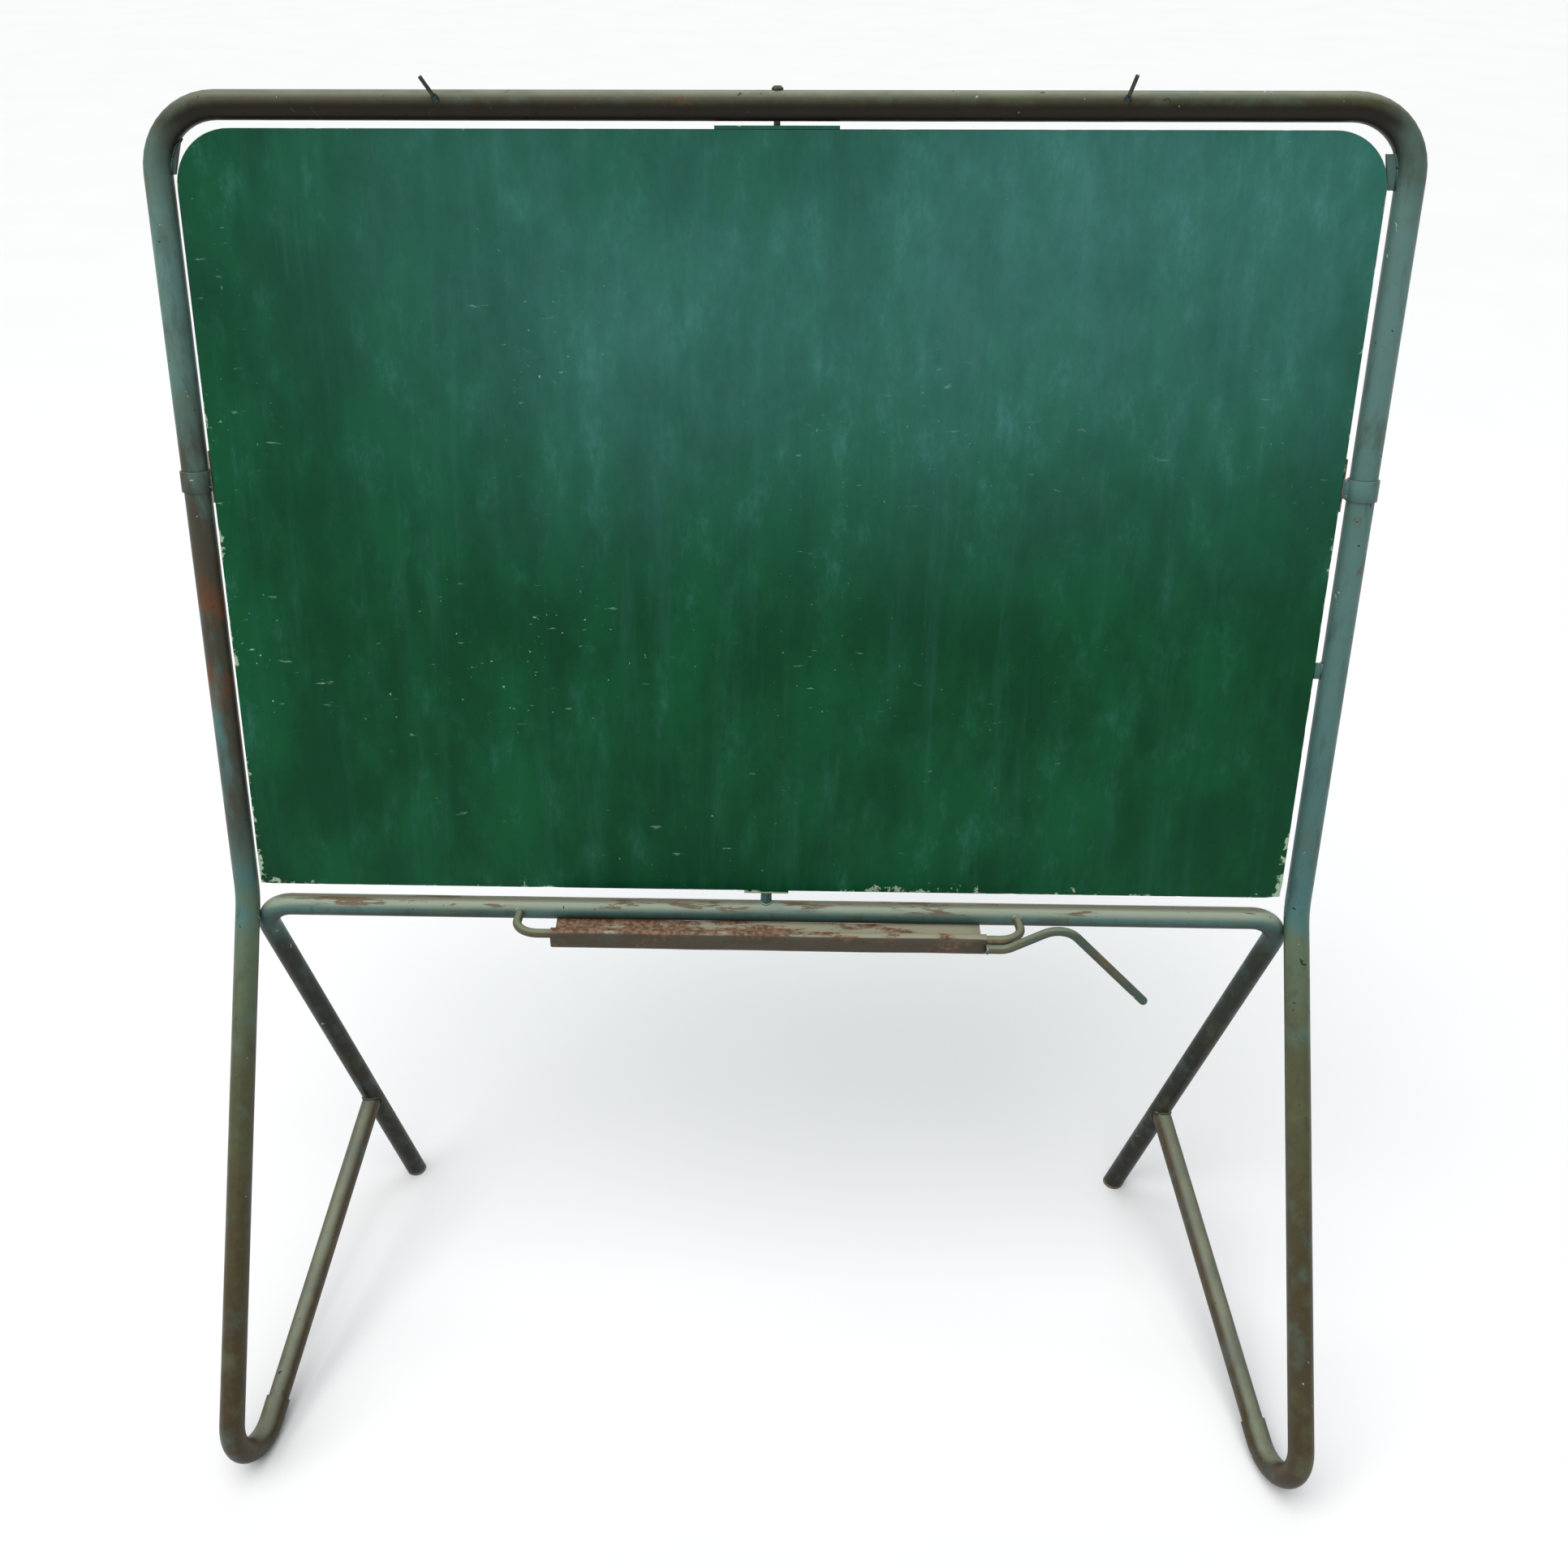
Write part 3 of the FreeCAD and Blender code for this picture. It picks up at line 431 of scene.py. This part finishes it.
def board_enamel(look):
    """Writing paint with wiped chalk, long wiping streaks, chalk ticks and chipped edges."""
    f = Finish("board_writing_paint")
    low, high = board_box("board_panel")
    flat = f.node("ShaderNodeMapping", {
        "Vector": f.place, "Location": UNLEAN.to_translation(),
        "Rotation": (LEAN_ANGLE, 0, 0)}).outputs[0]
    across, up = f.part("X", flat), f.part("Z", flat)

    def stretched(scale, **named):
        return f.node("ShaderNodeMapping", {"Vector": flat, "Scale": scale, **named}).outputs[0]

    cloud = f.grain(2.6, 5.0, 0.55, stretched((1, 1, 0.8)))
    streak = f.grain(60.0, 6.0, 0.7, stretched((1, 1, 0.07)))
    wipe = f.grain(12.0, 6.0, 0.65, stretched((1, 1, 0.5)))
    smudge = f.grain(46.0, 6.0, 0.72, stretched((1, 1, 0.45)))
    colour = f.over(f.ramp(wipe, 0.35, 0.65), look.deep_green, look.green)
    # painted reflection: the board's upper part is lightened towards the chalk colour as a sheen; rubbed chalk and
    # wiping streaks are then added to it
    painted_sheen = f.times(f.ramp(up, low.z + 0.22, high.z - 0.08), f.ramp(across, -0.46, -0.10, 0.10, 1.0))
    haze_and_sheen = f.times(painted_sheen, f.ramp(cloud, 0.34, 0.60, 0.28, 0.58), f.ramp(smudge, 0.25, 0.7, 0.75, 1.1))
    rubbed = f.times(f.ramp(smudge, 0.50, 0.74, 0.0, 0.24), f.ramp(wipe, 0.42, 0.62))
    haze_and_sheen = f.sum(haze_and_sheen, f.sum(rubbed, f.ramp(streak, 0.48, 0.80, 0.0, 0.12)))
    colour = f.over(haze_and_sheen, colour, look.chalk)
    # chalk ticks: short slanting strokes in loose drifts
    drift = f.ramp(f.grain(5.0, 2.0, 0.5, stretched((1, 1, 1), Location=(0.7, 0, 0.3))), 0.47, 0.66)
    drift = f.times(drift, f.ramp(across, 0.30, -0.20, 0.25, 1.0))
    slant = f.node("ShaderNodeMapping", {
        "Vector": flat, "Rotation": (0, 0.45, 0), "Scale": (30, 1, 110)}).outputs[0]
    tick = f.ramp(f.grain(1.4, 4.0, 0.65, slant), 0.64, 0.74)
    dots = f.ramp(f.grain(260.0, 2.0, 0.5, flat), 0.735, 0.78)
    colour = f.over(f.times(f.most(tick, dots), drift, 0.9), colour, srgb(150, 190, 172))
    # knocked edges, bare only here and there
    side = f.sum(f.sum(across, 0.5 * (low.x + high.x), "SUBTRACT"), 0.0, "ABSOLUTE")
    from_side = f.sum(0.5 * (high.x - low.x), side, "SUBTRACT")
    from_low = f.sum(up, low.z, "SUBTRACT")
    from_top = f.sum(high.z, up, "SUBTRACT")
    ragged = f.grain(85.0, 6.0, 0.75, flat)
    where = f.ramp(f.grain(11.0, 3.0, 0.5, flat), 0.50, 0.60)
    reach = f.times(f.ramp(ragged, 0.48, 0.70), where, f.ramp(up, low.z + 0.10, low.z, 0.0045, 0.011))
    near_corner = f.times(f.ramp(from_side, 0.05, 0.0), f.ramp(from_low, 0.10, 0.0),
                          f.ramp(ragged, 0.42, 0.6), 0.007)
    reach = f.sum(f.most(reach, near_corner), f.ramp(ragged, 0.46, 0.60, -0.0012, 0.0008))
    closest = f.sum(f.sum(from_side, from_low, "MINIMUM"), f.sum(from_top, 0.004), "MINIMUM")
    bare = f.ramp(f.sum(closest, reach, "SUBTRACT"), 0.0006, -0.0004)
    colour = f.over(f.times(bare, 0.85), colour, look.bare)
    f.bump(f.times(bare, -1.0), 0.0003, 0.7)
    f.bump(f.grain(700.0, 3.0, 0.6, flat), 0.00012, 0.5)
    f.bump(streak, 0.0004, 0.25)
    rough = f.ramp(f.sum(cloud, streak), 0.7, 1.3, 0.38, 0.52)
    return f.close(colour, rough, Specular_IOR_Level=0.11)


def worn_steel(name, pale, dark, rust, rust_from=0.55, metallic=0.6):
    """Small steel parts: dulled, handled bright on top, browned in the hollows."""
    f = Finish(name)
    mottle = f.grain(160.0, 5.0, 0.65)
    fine = f.grain(900.0, 3.0, 0.6)
    colour = f.over(f.ramp(mottle, 0.35, 0.65), dark, pale)
    bloom = f.ramp(f.grain(240.0, 5.0, 0.7), rust_from, rust_from + 0.10)
    colour = f.over(bloom, colour, rust)
    f.bump(fine, 0.0001, 0.5)
    f.bump(mottle, 0.0002, 0.4)
    rough = f.ramp(mottle, 0.3, 0.7, 0.34, 0.62)
    return f.close(colour, rough, Metallic=metallic)


def foot_rubber():
    """Dull rubber of the rear feet, scuffed grey at the floor."""
    f = Finish("foot_rubber")
    scuff = f.grain(180.0, 5.0, 0.7)
    low = f.ramp(f.part("Z"), 0.0, 0.016, 0.5, 0.0)
    colour = f.over(f.ramp(f.sum(scuff, low), 0.55, 1.0), srgb(38, 38, 32), srgb(104, 98, 84))
    f.bump(scuff, 0.0003, 0.5)
    return f.close(colour, f.ramp(scuff, 0.3, 0.7, 0.7, 0.9))


def pale_floor(look):
    """Plain pale floor with the faintest mottle."""
    f = Finish("pale_floor")
    cloud = f.grain(2.5, 3.0, 0.5)
    shade = [0.985 * c for c in look.floor]
    colour = f.over(f.ramp(cloud, 0.3, 0.7), shade, tuple(look.floor))
    return f.close(colour, f.ramp(cloud, 0.3, 0.7, 0.80, 0.86), Specular_IOR_Level=0.2)


# ---------------------------------------------------------------- mesh helpers

def add_piece(name, bm, body, slot, material, *replaced, smooth_angle=35):
    """Turns a bmesh into a finished piece that rides on a body."""
    bmesh.ops.recalc_face_normals(bm, faces=bm.faces)
    mesh = bpy.data.meshes.new(name)
    bm.to_mesh(mesh)
    bm.free()
    piece = bpy.data.objects.new(name, mesh)
    bpy.context.scene.collection.objects.link(piece)
    mesh.materials.append(material)
    mesh.polygons.foreach_set("use_smooth", [True] * len(mesh.polygons))
    mesh.set_sharp_from_angle(angle=math.radians(smooth_angle))
    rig.ride(piece, body)
    if replaced:
        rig.replaces(piece, *replaced)
    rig.slot(piece, slot)
    return piece


def merged_copy(node):
    """A closed copy of a CAD node's loose triangles, with flat faces made whole."""
    bm = bmesh.new()
    bm.from_mesh(NODES[node].data)
    bmesh.ops.remove_doubles(bm, verts=bm.verts, dist=0.00001)
    bmesh.ops.dissolve_degenerate(bm, edges=bm.edges, dist=0.00001)
    bmesh.ops.recalc_face_normals(bm, faces=bm.faces)
    bmesh.ops.dissolve_limit(bm, verts=bm.verts, edges=bm.edges, angle_limit=math.radians(1))
    return bm


def soften(bm, width, segments=2, over=40):
    """Rounds every edge that turns sharper than the given angle."""
    limit = math.radians(over)
    sharp = [e for e in bm.edges if len(e.link_faces) == 2 and e.calc_face_angle(0) > limit]
    bmesh.ops.bevel(bm, geom=sharp, offset=width, offset_type="OFFSET", affect="EDGES",
                    segments=segments, profile=0.5, material=-1, clamp_overlap=True)


def dress(node, material):
    """Gives a CAD node that keeps its own mesh its finish."""
    part = NODES[node]
    for slot in part.material_slots:
        slot.material = material


# ---------------------------------------------------------------- welds

SEAM_REACH = 0.2 * MM
SEAM_POINTS = 28
RING_POINTS = 20
RAIL_SEAM_POINTS = 9
BEAD_SIDES = 8
BEAD_SUNK = 0.4 * MM
RIPPLE_GRAIN = 500
RIPPLE_UNEVEN = 0.28
RIPPLE_EVEN = 0.12
END_SHARE = 0.4


def seam_path(node, other, side):
    """The outer line where a node meets another, in order round it; side keeps only that X side."""
    mesh = NODES[other].data
    tree = BVHTree.FromPolygons([v.co for v in mesh.vertices], [p.vertices for p in mesh.polygons])
    near = [v.co.copy() for v in NODES[node].data.vertices
            if side * v.co.x >= 0 and tree.find_nearest(v.co)[3] < SEAM_REACH]
    if len(near) < 4:
        raise RuntimeError("no seam between %s and %s" % (node, other))
    middle = sum(near, Vector()) / len(near)
    spans = sorted(near, key=lambda p: (p - middle).length)
    first = (spans[-1] - middle).normalized()
    across = [p - middle - first * (p - middle).dot(first) for p in near]
    second = max(across, key=lambda away: away.length)
    second.normalize()
    outer = {}
    for point in near:
        away = point - middle
        turn = round(math.atan2(away.dot(second), away.dot(first)) / TAU * SEAM_POINTS) % SEAM_POINTS
        if turn not in outer or away.length > (outer[turn] - middle).length:
            outer[turn] = point
    return [outer[turn] for turn in sorted(outer)]


def rail_seam_path(side):
    """The line down the front of the joint between the rail's bend and the post."""
    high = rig.box("rear_frame")[1]
    start = Vector((high.x - 1.6 * MM, HINGE_PLACE.y - 8 * MM, high.z - 14 * MM))
    stride = Vector((0.25, -1.5, -4)) * MM
    path = []
    for step in range(RAIL_SEAM_POINTS):
        point = start + stride * step
        path.append(Vector((side * point.x, point.y, point.z)))
    return path


def hanger_seam_path():
    """The ring round the hanger's end, where it meets the tray's end."""
    low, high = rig.box("duster_hanger")
    radius = 0.5 * (high.y - low.y)
    end = [v.co for v in NODES["duster_hanger"].data.vertices if v.co.x < low.x + 0.1 * MM]
    middle = sum(end, Vector()) / len(end)
    ring = []
    for step in range(RING_POINTS):
        turn = TAU * step / RING_POINTS
        ring.append(middle + Vector((0, math.cos(turn), math.sin(turn))) * (radius - BEAD_SUNK))
    return ring


def lay_bead(bm, path, radius, closed):
    """A rippled bead along a path, from rings bridged one to the next."""
    rings = []
    count = len(path)
    for index, point in enumerate(path):
        if closed:
            ahead = path[(index + 1) % count] - path[index - 1]
        else:
            ahead = path[min(index + 1, count - 1)] - path[max(index - 1, 0)]
        ripple = 1 + RIPPLE_UNEVEN * noise.noise(point * RIPPLE_GRAIN) + RIPPLE_EVEN * (-1) ** index
        if not closed and index in (0, count - 1):
            ripple *= END_SHARE
        place = Matrix.Translation(point) @ ahead.to_track_quat("Z", "X").to_matrix().to_4x4()
        ring = bmesh.ops.create_circle(
            bm, segments=BEAD_SIDES, radius=radius * ripple, matrix=place)["verts"]
        rings.append([e for e in {e for v in ring for e in v.link_edges}])
    pairs = list(zip(rings, rings[1:]))
    if closed:
        pairs.append((rings[-1], rings[0]))
    for first, second in pairs:
        bmesh.ops.bridge_loops(bm, edges=first + second)
    if not closed:
        bmesh.ops.contextual_create(bm, geom=rings[0])
        bmesh.ops.contextual_create(bm, geom=rings[-1])


# ---------------------------------------------------------------- pieces

BOARD_CORNER_STEPS = 14
BOARD_SLICE = 10 * MM
BOARD_SHARP = 1.2
KNOCK_ZONE = 3 * MM
KNOCK_LEVEL = 0.32
CORNER_ZONE = 12 * MM


class TT_OT_writing_board(bpy.types.Operator):
    """Build the writing board with worn edges and chipped corners"""
    bl_idname = "blackboard.writing_board"
    bl_label = "Writing board"

    def execute(self, context):
        look = context.scene.tt_board
        low, high = board_box("board_panel")
        size = high - low
        middle = (low + high) / 2
        bm = bmesh.new()
        bmesh.ops.create_cube(bm, size=1.0, matrix=Matrix.Translation(middle)
                              @ Matrix.Diagonal((*size, 1)))
        corners = [e for e in bm.edges
                   if all(v.co.z > high.z - MM for v in e.verts)
                   and abs(e.verts[0].co.y - e.verts[1].co.y) > size.y / 2]
        bmesh.ops.bevel(bm, geom=corners, offset=look.corner_round, offset_type="OFFSET",
                        affect="EDGES", segments=BOARD_CORNER_STEPS, profile=0.5, material=-1)
        slices = ((Vector((1, 0, 0)), low.x, size.x), (Vector((0, 0, 1)), low.z, size.z))
        for way, start, span in slices:
            for index in range(1, int(span / BOARD_SLICE)):
                across = way * (start + index * BOARD_SLICE)
                bmesh.ops.bisect_plane(bm, geom=bm.verts[:] + bm.edges[:] + bm.faces[:],
                                       plane_co=across, plane_no=way)
        rim = [e for e in bm.edges if e.calc_face_angle(0) > BOARD_SHARP
               and abs(e.verts[0].co.y - e.verts[1].co.y) < size.y / 2]
        bmesh.ops.subdivide_edges(bm, edges=rim, cuts=3)
        rim = [e for e in bm.edges if e.calc_face_angle(0) > BOARD_SHARP
               and abs(e.verts[0].co.y - e.verts[1].co.y) < size.y / 2]
        bmesh.ops.bevel(bm, geom=rim, offset=look.edge_round, offset_type="OFFSET", affect="EDGES",
                        segments=3, profile=0.5, material=-1)
        for v in bm.verts:
            near_side = size.x / 2 - abs(v.co.x - middle.x)
            near_foot = v.co.z - low.z
            near_head = high.z - v.co.z
            front = 1.0 if v.co.y < middle.y else 0.6
            edge = min(near_side, near_foot, near_head)
            if edge > KNOCK_ZONE:
                continue
            knock = noise.noise(v.co * 45) + 0.5 * noise.noise(v.co * 150)
            corner = max(0.0, 1 - math.hypot(near_side, near_foot) / CORNER_ZONE)
            bite = 0.6 * max(0.0, knock - KNOCK_LEVEL) + corner * (0.5 + 0.5 * knock)
            depth = front * look.chip_depth * bite
            if near_foot <= edge + MM:
                v.co.z += depth
            elif near_head <= edge + MM:
                v.co.z -= 0.5 * depth
            if near_side <= edge + MM:
                v.co.x -= math.copysign(0.7 * depth, v.co.x - middle.x)
        bmesh.ops.transform(bm, matrix=LEAN, verts=bm.verts)
        add_piece("writing_board", bm, "board", "board_paint", board_enamel(look), "board_panel")
        return {"FINISHED"}


class TT_OT_board_fittings(bpy.types.Operator):
    """Build the pivot plates, strike plates and their screws"""
    bl_idname = "blackboard.board_fittings"
    bl_label = "Board fittings"

    def execute(self, context):
        look = context.scene.tt_board
        painted = board_enamel(look)
        painted.name = "plate_over_paint"
        steel = worn_steel(
            "plate_worn_steel", srgb(120, 124, 104), srgb(66, 66, 50), srgb(96, 66, 42), 0.52)
        screw = worn_steel("screw_steel", srgb(112, 112, 98), srgb(62, 58, 46), srgb(92, 60, 40))
        for node, finish in (("top_pivot_plate", painted), ("bottom_pivot_plate", painted),
                             ("left_strike_plate", steel), ("right_strike_plate", steel)):
            bm = merged_copy(node)
            soften(bm, 0.3 * MM)
            add_piece("worn_" + node, bm, "board", "plate_steel", finish, node)
        dress("edge_plate_screws", screw)
        return {"FINISHED"}


class TT_OT_tube_stand(bpy.types.Operator):
    """Finish the bent tubes of the stand, its feet and its pivot hardware"""
    bl_idname = "blackboard.tube_stand"
    bl_label = "Tube stand"

    def execute(self, context):
        look = context.scene.tt_stand
        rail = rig.box("rear_frame")[1].z - 10 * MM
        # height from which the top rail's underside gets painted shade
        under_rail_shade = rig.box("front_frame")[1].z - 30 * MM
        # each tone is reached at its height above the floor
        front_tones = (
            (0.00, look.brown), (0.06, look.brown), (0.20, srgb(67, 60, 37)),
            (0.34, srgb(76, 77, 53)), (rail, srgb(86, 102, 80)), (rail + 0.04, srgb(68, 108, 106)),
            (0.80, look.teal), (1.00, srgb(92, 126, 120)), (1.10, srgb(62, 60, 38)))
        # the rear legs' dark tones are partly their darker paint and partly painted shade
        rear_tones_and_shade = (
            (0.00, srgb(24, 20, 10)), (0.20, srgb(26, 27, 16)), (rail - 0.05, srgb(34, 44, 34)),
            (rail - 0.01, srgb(74, 106, 102)))
        brace_tones = ((0.00, look.brown), (0.14, srgb(76, 63, 50)))
        hanger_tones = (
            (0.37, srgb(62, 82, 74)), (0.43, srgb(68, 84, 72)), (0.45, srgb(96, 88, 66)))
        rod_tones = ((0.42, srgb(84, 76, 56)), (0.44, srgb(102, 92, 70)))
        front = tube_enamel(
            "front_tube_enamel", look, front_tones, 0.95, stained_side=-1, shaded_from=under_rail_shade)
        rear = tube_enamel("rear_tube_enamel", look, rear_tones_and_shade, 0.75, worn_rail=rail)
        brace = tube_enamel("brace_enamel", look, brace_tones, 0.7)
        dress("front_frame", front)
        dress("rear_frame", rear)
        dress("duster_hanger", tube_enamel("rod_enamel", look, hanger_tones, 0.6))
        dress("tray_rod", tube_enamel("loop_enamel", look, rod_tones, 0.6))
        dress("bottom_pivot_boss", rear)
        rubber = foot_rubber()
        for side in ("left", "right"):
            dress(side + "_brace", brace)
            dress(side + "_rear_cap", rubber)
        steel = worn_steel("pivot_steel", srgb(104, 104, 88), srgb(48, 46, 36), srgb(84, 56, 38))
        for node in ("top_pivot_bolt", "bottom_pivot_pin"):
            dress(node, steel)
        return {"FINISHED"}


class TT_OT_weld_beads(bpy.types.Operator):
    """Lay rippled weld beads where the stand's pieces meet"""
    bl_idname = "blackboard.weld_beads"
    bl_label = "Weld beads"

    def execute(self, context):
        look = context.scene.tt_stand
        # node, what it is welded to, which side (0 for both), and the bead's share of full size
        seams = (
            ("left_brace", "rear_frame", 0, 1.0), ("right_brace", "rear_frame", 0, 1.0),
            ("tray_rod", "rear_frame", -1, 0.75), ("tray_rod", "rear_frame", 1, 0.75),
            ("left_upper_lug", "front_frame", 0, 0.7), ("right_upper_lug", "front_frame", 0, 0.7),
            ("right_lower_lug", "front_frame", 0, 0.7), ("bottom_pivot_boss", "rear_frame", 0, 0.6))
        bm = bmesh.new()
        for node, other, side, share in seams:
            lay_bead(bm, seam_path(node, other, side), look.bead * share, True)
        for side in (-1, 1):
            lay_bead(bm, rail_seam_path(side), look.bead * 1.5, False)
        lay_bead(bm, hanger_seam_path(), look.bead * 0.7, True)
        add_piece("weld_beads", bm, "stand", "stand_paint", bpy.data.materials["rear_tube_enamel"],
                  smooth_angle=180)
        return {"FINISHED"}


class TT_OT_clamp_collars(bpy.types.Operator):
    """Build the two clamp collars with their catches and rivets, and the stop lugs"""
    bl_idname = "blackboard.clamp_collars"
    bl_label = "Collars and lugs"

    def execute(self, context):
        enamel = bpy.data.materials["front_tube_enamel"]
        bright = worn_steel(
            "rivet_steel", srgb(196, 200, 186), srgb(128, 130, 116), srgb(92, 66, 44), 0.62)
        for side in ("left", "right"):
            bm = merged_copy(side + "_collar")
            soften(bm, 0.25 * MM)
            add_piece("worn_" + side + "_collar", bm, "stand", "stand_paint", enamel, side + "_collar")
            dress(side + "_collar_rivet", bright)
        for lug in ("left_upper_lug", "right_upper_lug", "right_lower_lug"):
            bm = merged_copy(lug)
            soften(bm, 0.4 * MM)
            add_piece("worn_" + lug, bm, "stand", "stand_paint", enamel, lug)
        return {"FINISHED"}


TRAY_SLICE = 12 * MM
TRAY_SAG = 0.5 * MM
TRAY_WAVE = 0.3 * MM


class TT_OT_chalk_shelf(bpy.types.Operator):
    """Build the rusted chalk tray, finish its rod and the two map pegs"""
    bl_idname = "blackboard.chalk_shelf"
    bl_label = "Chalk tray and pegs"

    def execute(self, context):
        rusty = tray_enamel()
        bm = merged_copy("chalk_tray")
        low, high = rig.box("chalk_tray")
        for index in range(1, int((high.x - low.x) / TRAY_SLICE)):
            bmesh.ops.bisect_plane(bm, geom=bm.verts[:] + bm.edges[:] + bm.faces[:],
                                   plane_co=(low.x + index * TRAY_SLICE, 0, 0), plane_no=(1, 0, 0))
        for v in bm.verts:
            v.co.z += TRAY_SAG * noise.noise(Vector((v.co.x * 14, 0.3, 0.7)))
            v.co.y += TRAY_WAVE * noise.noise(Vector((v.co.x * 22, 4.1, 2.2)))
        soften(bm, 0.25 * MM, 1)
        add_piece("rusted_chalk_tray", bm, "stand", "tray_paint", rusty, "chalk_tray")
        wire = worn_steel("peg_wire", srgb(54, 66, 54), srgb(24, 32, 26), srgb(58, 40, 28), 0.62, 0.3)
        for node in ("left_map_peg", "right_map_peg"):
            dress(node, wire)
        return {"FINISHED"}


FLOOR_HALF = 30.0
AIR_COLOUR = (0.92, 0.96, 1.0)
AIR_STRENGTH = 0.42
LIGHT_AIM = (0, 0, 0.6)
SENSOR_WIDTH = 36.0
CAMERA_PLACE = (-0.0098, HINGE_PLACE.y - 1.0466, 1.2932)
CAMERA_PITCH = 0.547
CAMERA_YAW = -0.028
CAMERA_ROLL = 0.003
CAMERA_SHIFT = (0.038, -0.051)
FAR_CLIP = 200.0


class TT_OT_stage(bpy.types.Operator):
    """Set the pale floor, the soft lights and the camera"""
    bl_idname = "blackboard.stage"
    bl_label = "Floor, light and camera"

    def execute(self, context):
        look = context.scene.tt_stage
        bm = bmesh.new()
        bmesh.ops.create_grid(bm, x_segments=8, y_segments=8, size=FLOOR_HALF)
        mesh = bpy.data.meshes.new("studio_floor")
        bm.to_mesh(mesh)
        bm.free()
        floor = bpy.data.objects.new("studio_floor", mesh)
        mesh.materials.append(pale_floor(look))
        context.scene.collection.objects.link(floor)
        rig.stage(floor)

        world = bpy.data.worlds.new("studio_air")
        world.use_nodes = True
        air = world.node_tree.nodes["Background"]
        air.inputs["Color"].default_value = (*AIR_COLOUR, 1)
        air.inputs["Strength"].default_value = AIR_STRENGTH
        context.scene.world = world

        def soft_light(name, place, size, power, tint):
            data = bpy.data.lights.new(name, "AREA")
            data.shape = "RECTANGLE"
            data.size, data.size_y = size
            data.energy = power
            data.color = tint
            lamp = bpy.data.objects.new(name, data)
            lamp.location = place
            aim = Vector(LIGHT_AIM) - Vector(place)
            lamp.rotation_euler = aim.to_track_quat("-Z", "Y").to_euler()
            context.scene.collection.objects.link(lamp)

        soft_light("ceiling_panel", (0.35, 1.5, 2.6), (1.8, 0.5), look.panel_power, (0.80, 0.92, 1.0))
        soft_light("left_fill", (-2.4, -1.4, 1.6), (1.6, 1.6), look.fill_power, (1.0, 0.98, 0.94))
        daylight = bpy.data.lights.new("overhead_daylight", "SUN")
        daylight.energy = look.sky_strength
        daylight.angle = 1.1
        daylight.color = (1.0, 0.995, 0.985)
        lamp = bpy.data.objects.new("overhead_daylight", daylight)
        lamp.rotation_euler = (math.radians(12), math.radians(-14), 0)
        context.scene.collection.objects.link(lamp)

        data = bpy.data.cameras.new("studio_camera")
        data.sensor_width = SENSOR_WIDTH
        data.lens = look.lens
        data.shift_x, data.shift_y = CAMERA_SHIFT
        data.clip_end = FAR_CLIP
        camera = bpy.data.objects.new("studio_camera", data)
        level = math.cos(CAMERA_PITCH)
        ahead = Vector((math.sin(CAMERA_YAW) * level, math.cos(CAMERA_YAW) * level,
                        -math.sin(CAMERA_PITCH)))
        right = Vector((math.cos(CAMERA_YAW), -math.sin(CAMERA_YAW), 0))
        down = ahead.cross(right)
        right, down = (right * math.cos(CAMERA_ROLL) + down * math.sin(CAMERA_ROLL),
                       down * math.cos(CAMERA_ROLL) - right * math.sin(CAMERA_ROLL))
        turn = Matrix((right, -down, -ahead)).transposed().to_4x4()
        camera.matrix_world = Matrix.Translation(CAMERA_PLACE) @ turn
        context.scene.collection.objects.link(camera)
        context.scene.camera = camera
        context.scene.view_settings.view_transform = "Standard"
        return {"FINISHED"}


OPERATORS = (TT_OT_writing_board, TT_OT_board_fittings, TT_OT_tube_stand, TT_OT_weld_beads,
             TT_OT_clamp_collars, TT_OT_chalk_shelf, TT_OT_stage)
LOOKS = {"tt_board": TT_BoardLook, "tt_stand": TT_StandLook, "tt_stage": TT_StageLook}


class TT_PT_blackboard(bpy.types.Panel):
    """Lists the pieces of the blackboard and their settings"""
    bl_idname = "TT_PT_blackboard"
    bl_label = "Blackboard"
    bl_space_type = "VIEW_3D"
    bl_region_type = "UI"
    bl_category = "Blackboard"

    def draw(self, context):
        for operator in OPERATORS:
            self.layout.operator(operator.bl_idname)
        for name, look in LOOKS.items():
            column = self.layout.column(heading=look.__doc__)
            for prop in look.__annotations__:
                column.prop(getattr(context.scene, name), prop)


def register():
    for kind in (*LOOKS.values(), *OPERATORS, TT_PT_blackboard):
        bpy.utils.register_class(kind)
    for name, look in LOOKS.items():
        setattr(bpy.types.Scene, name, bpy.props.PointerProperty(type=look))


def unregister():
    for name in LOOKS:
        delattr(bpy.types.Scene, name)
    for kind in (TT_PT_blackboard, *reversed(OPERATORS), *LOOKS.values()):
        bpy.utils.unregister_class(kind)


def main():
    register()
    for operator in OPERATORS:
        group, name = operator.bl_idname.split(".")
        getattr(getattr(bpy.ops, group), name)()
    sizes = {"cad_box": [list(corner) for corner in CAD_BOX],
             "visual_box": [list(corner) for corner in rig.bounds()]}
    with open(SIZE_FILE, "w") as out:
        json.dump(sizes, out)


if __name__ == "__main__":
    main()
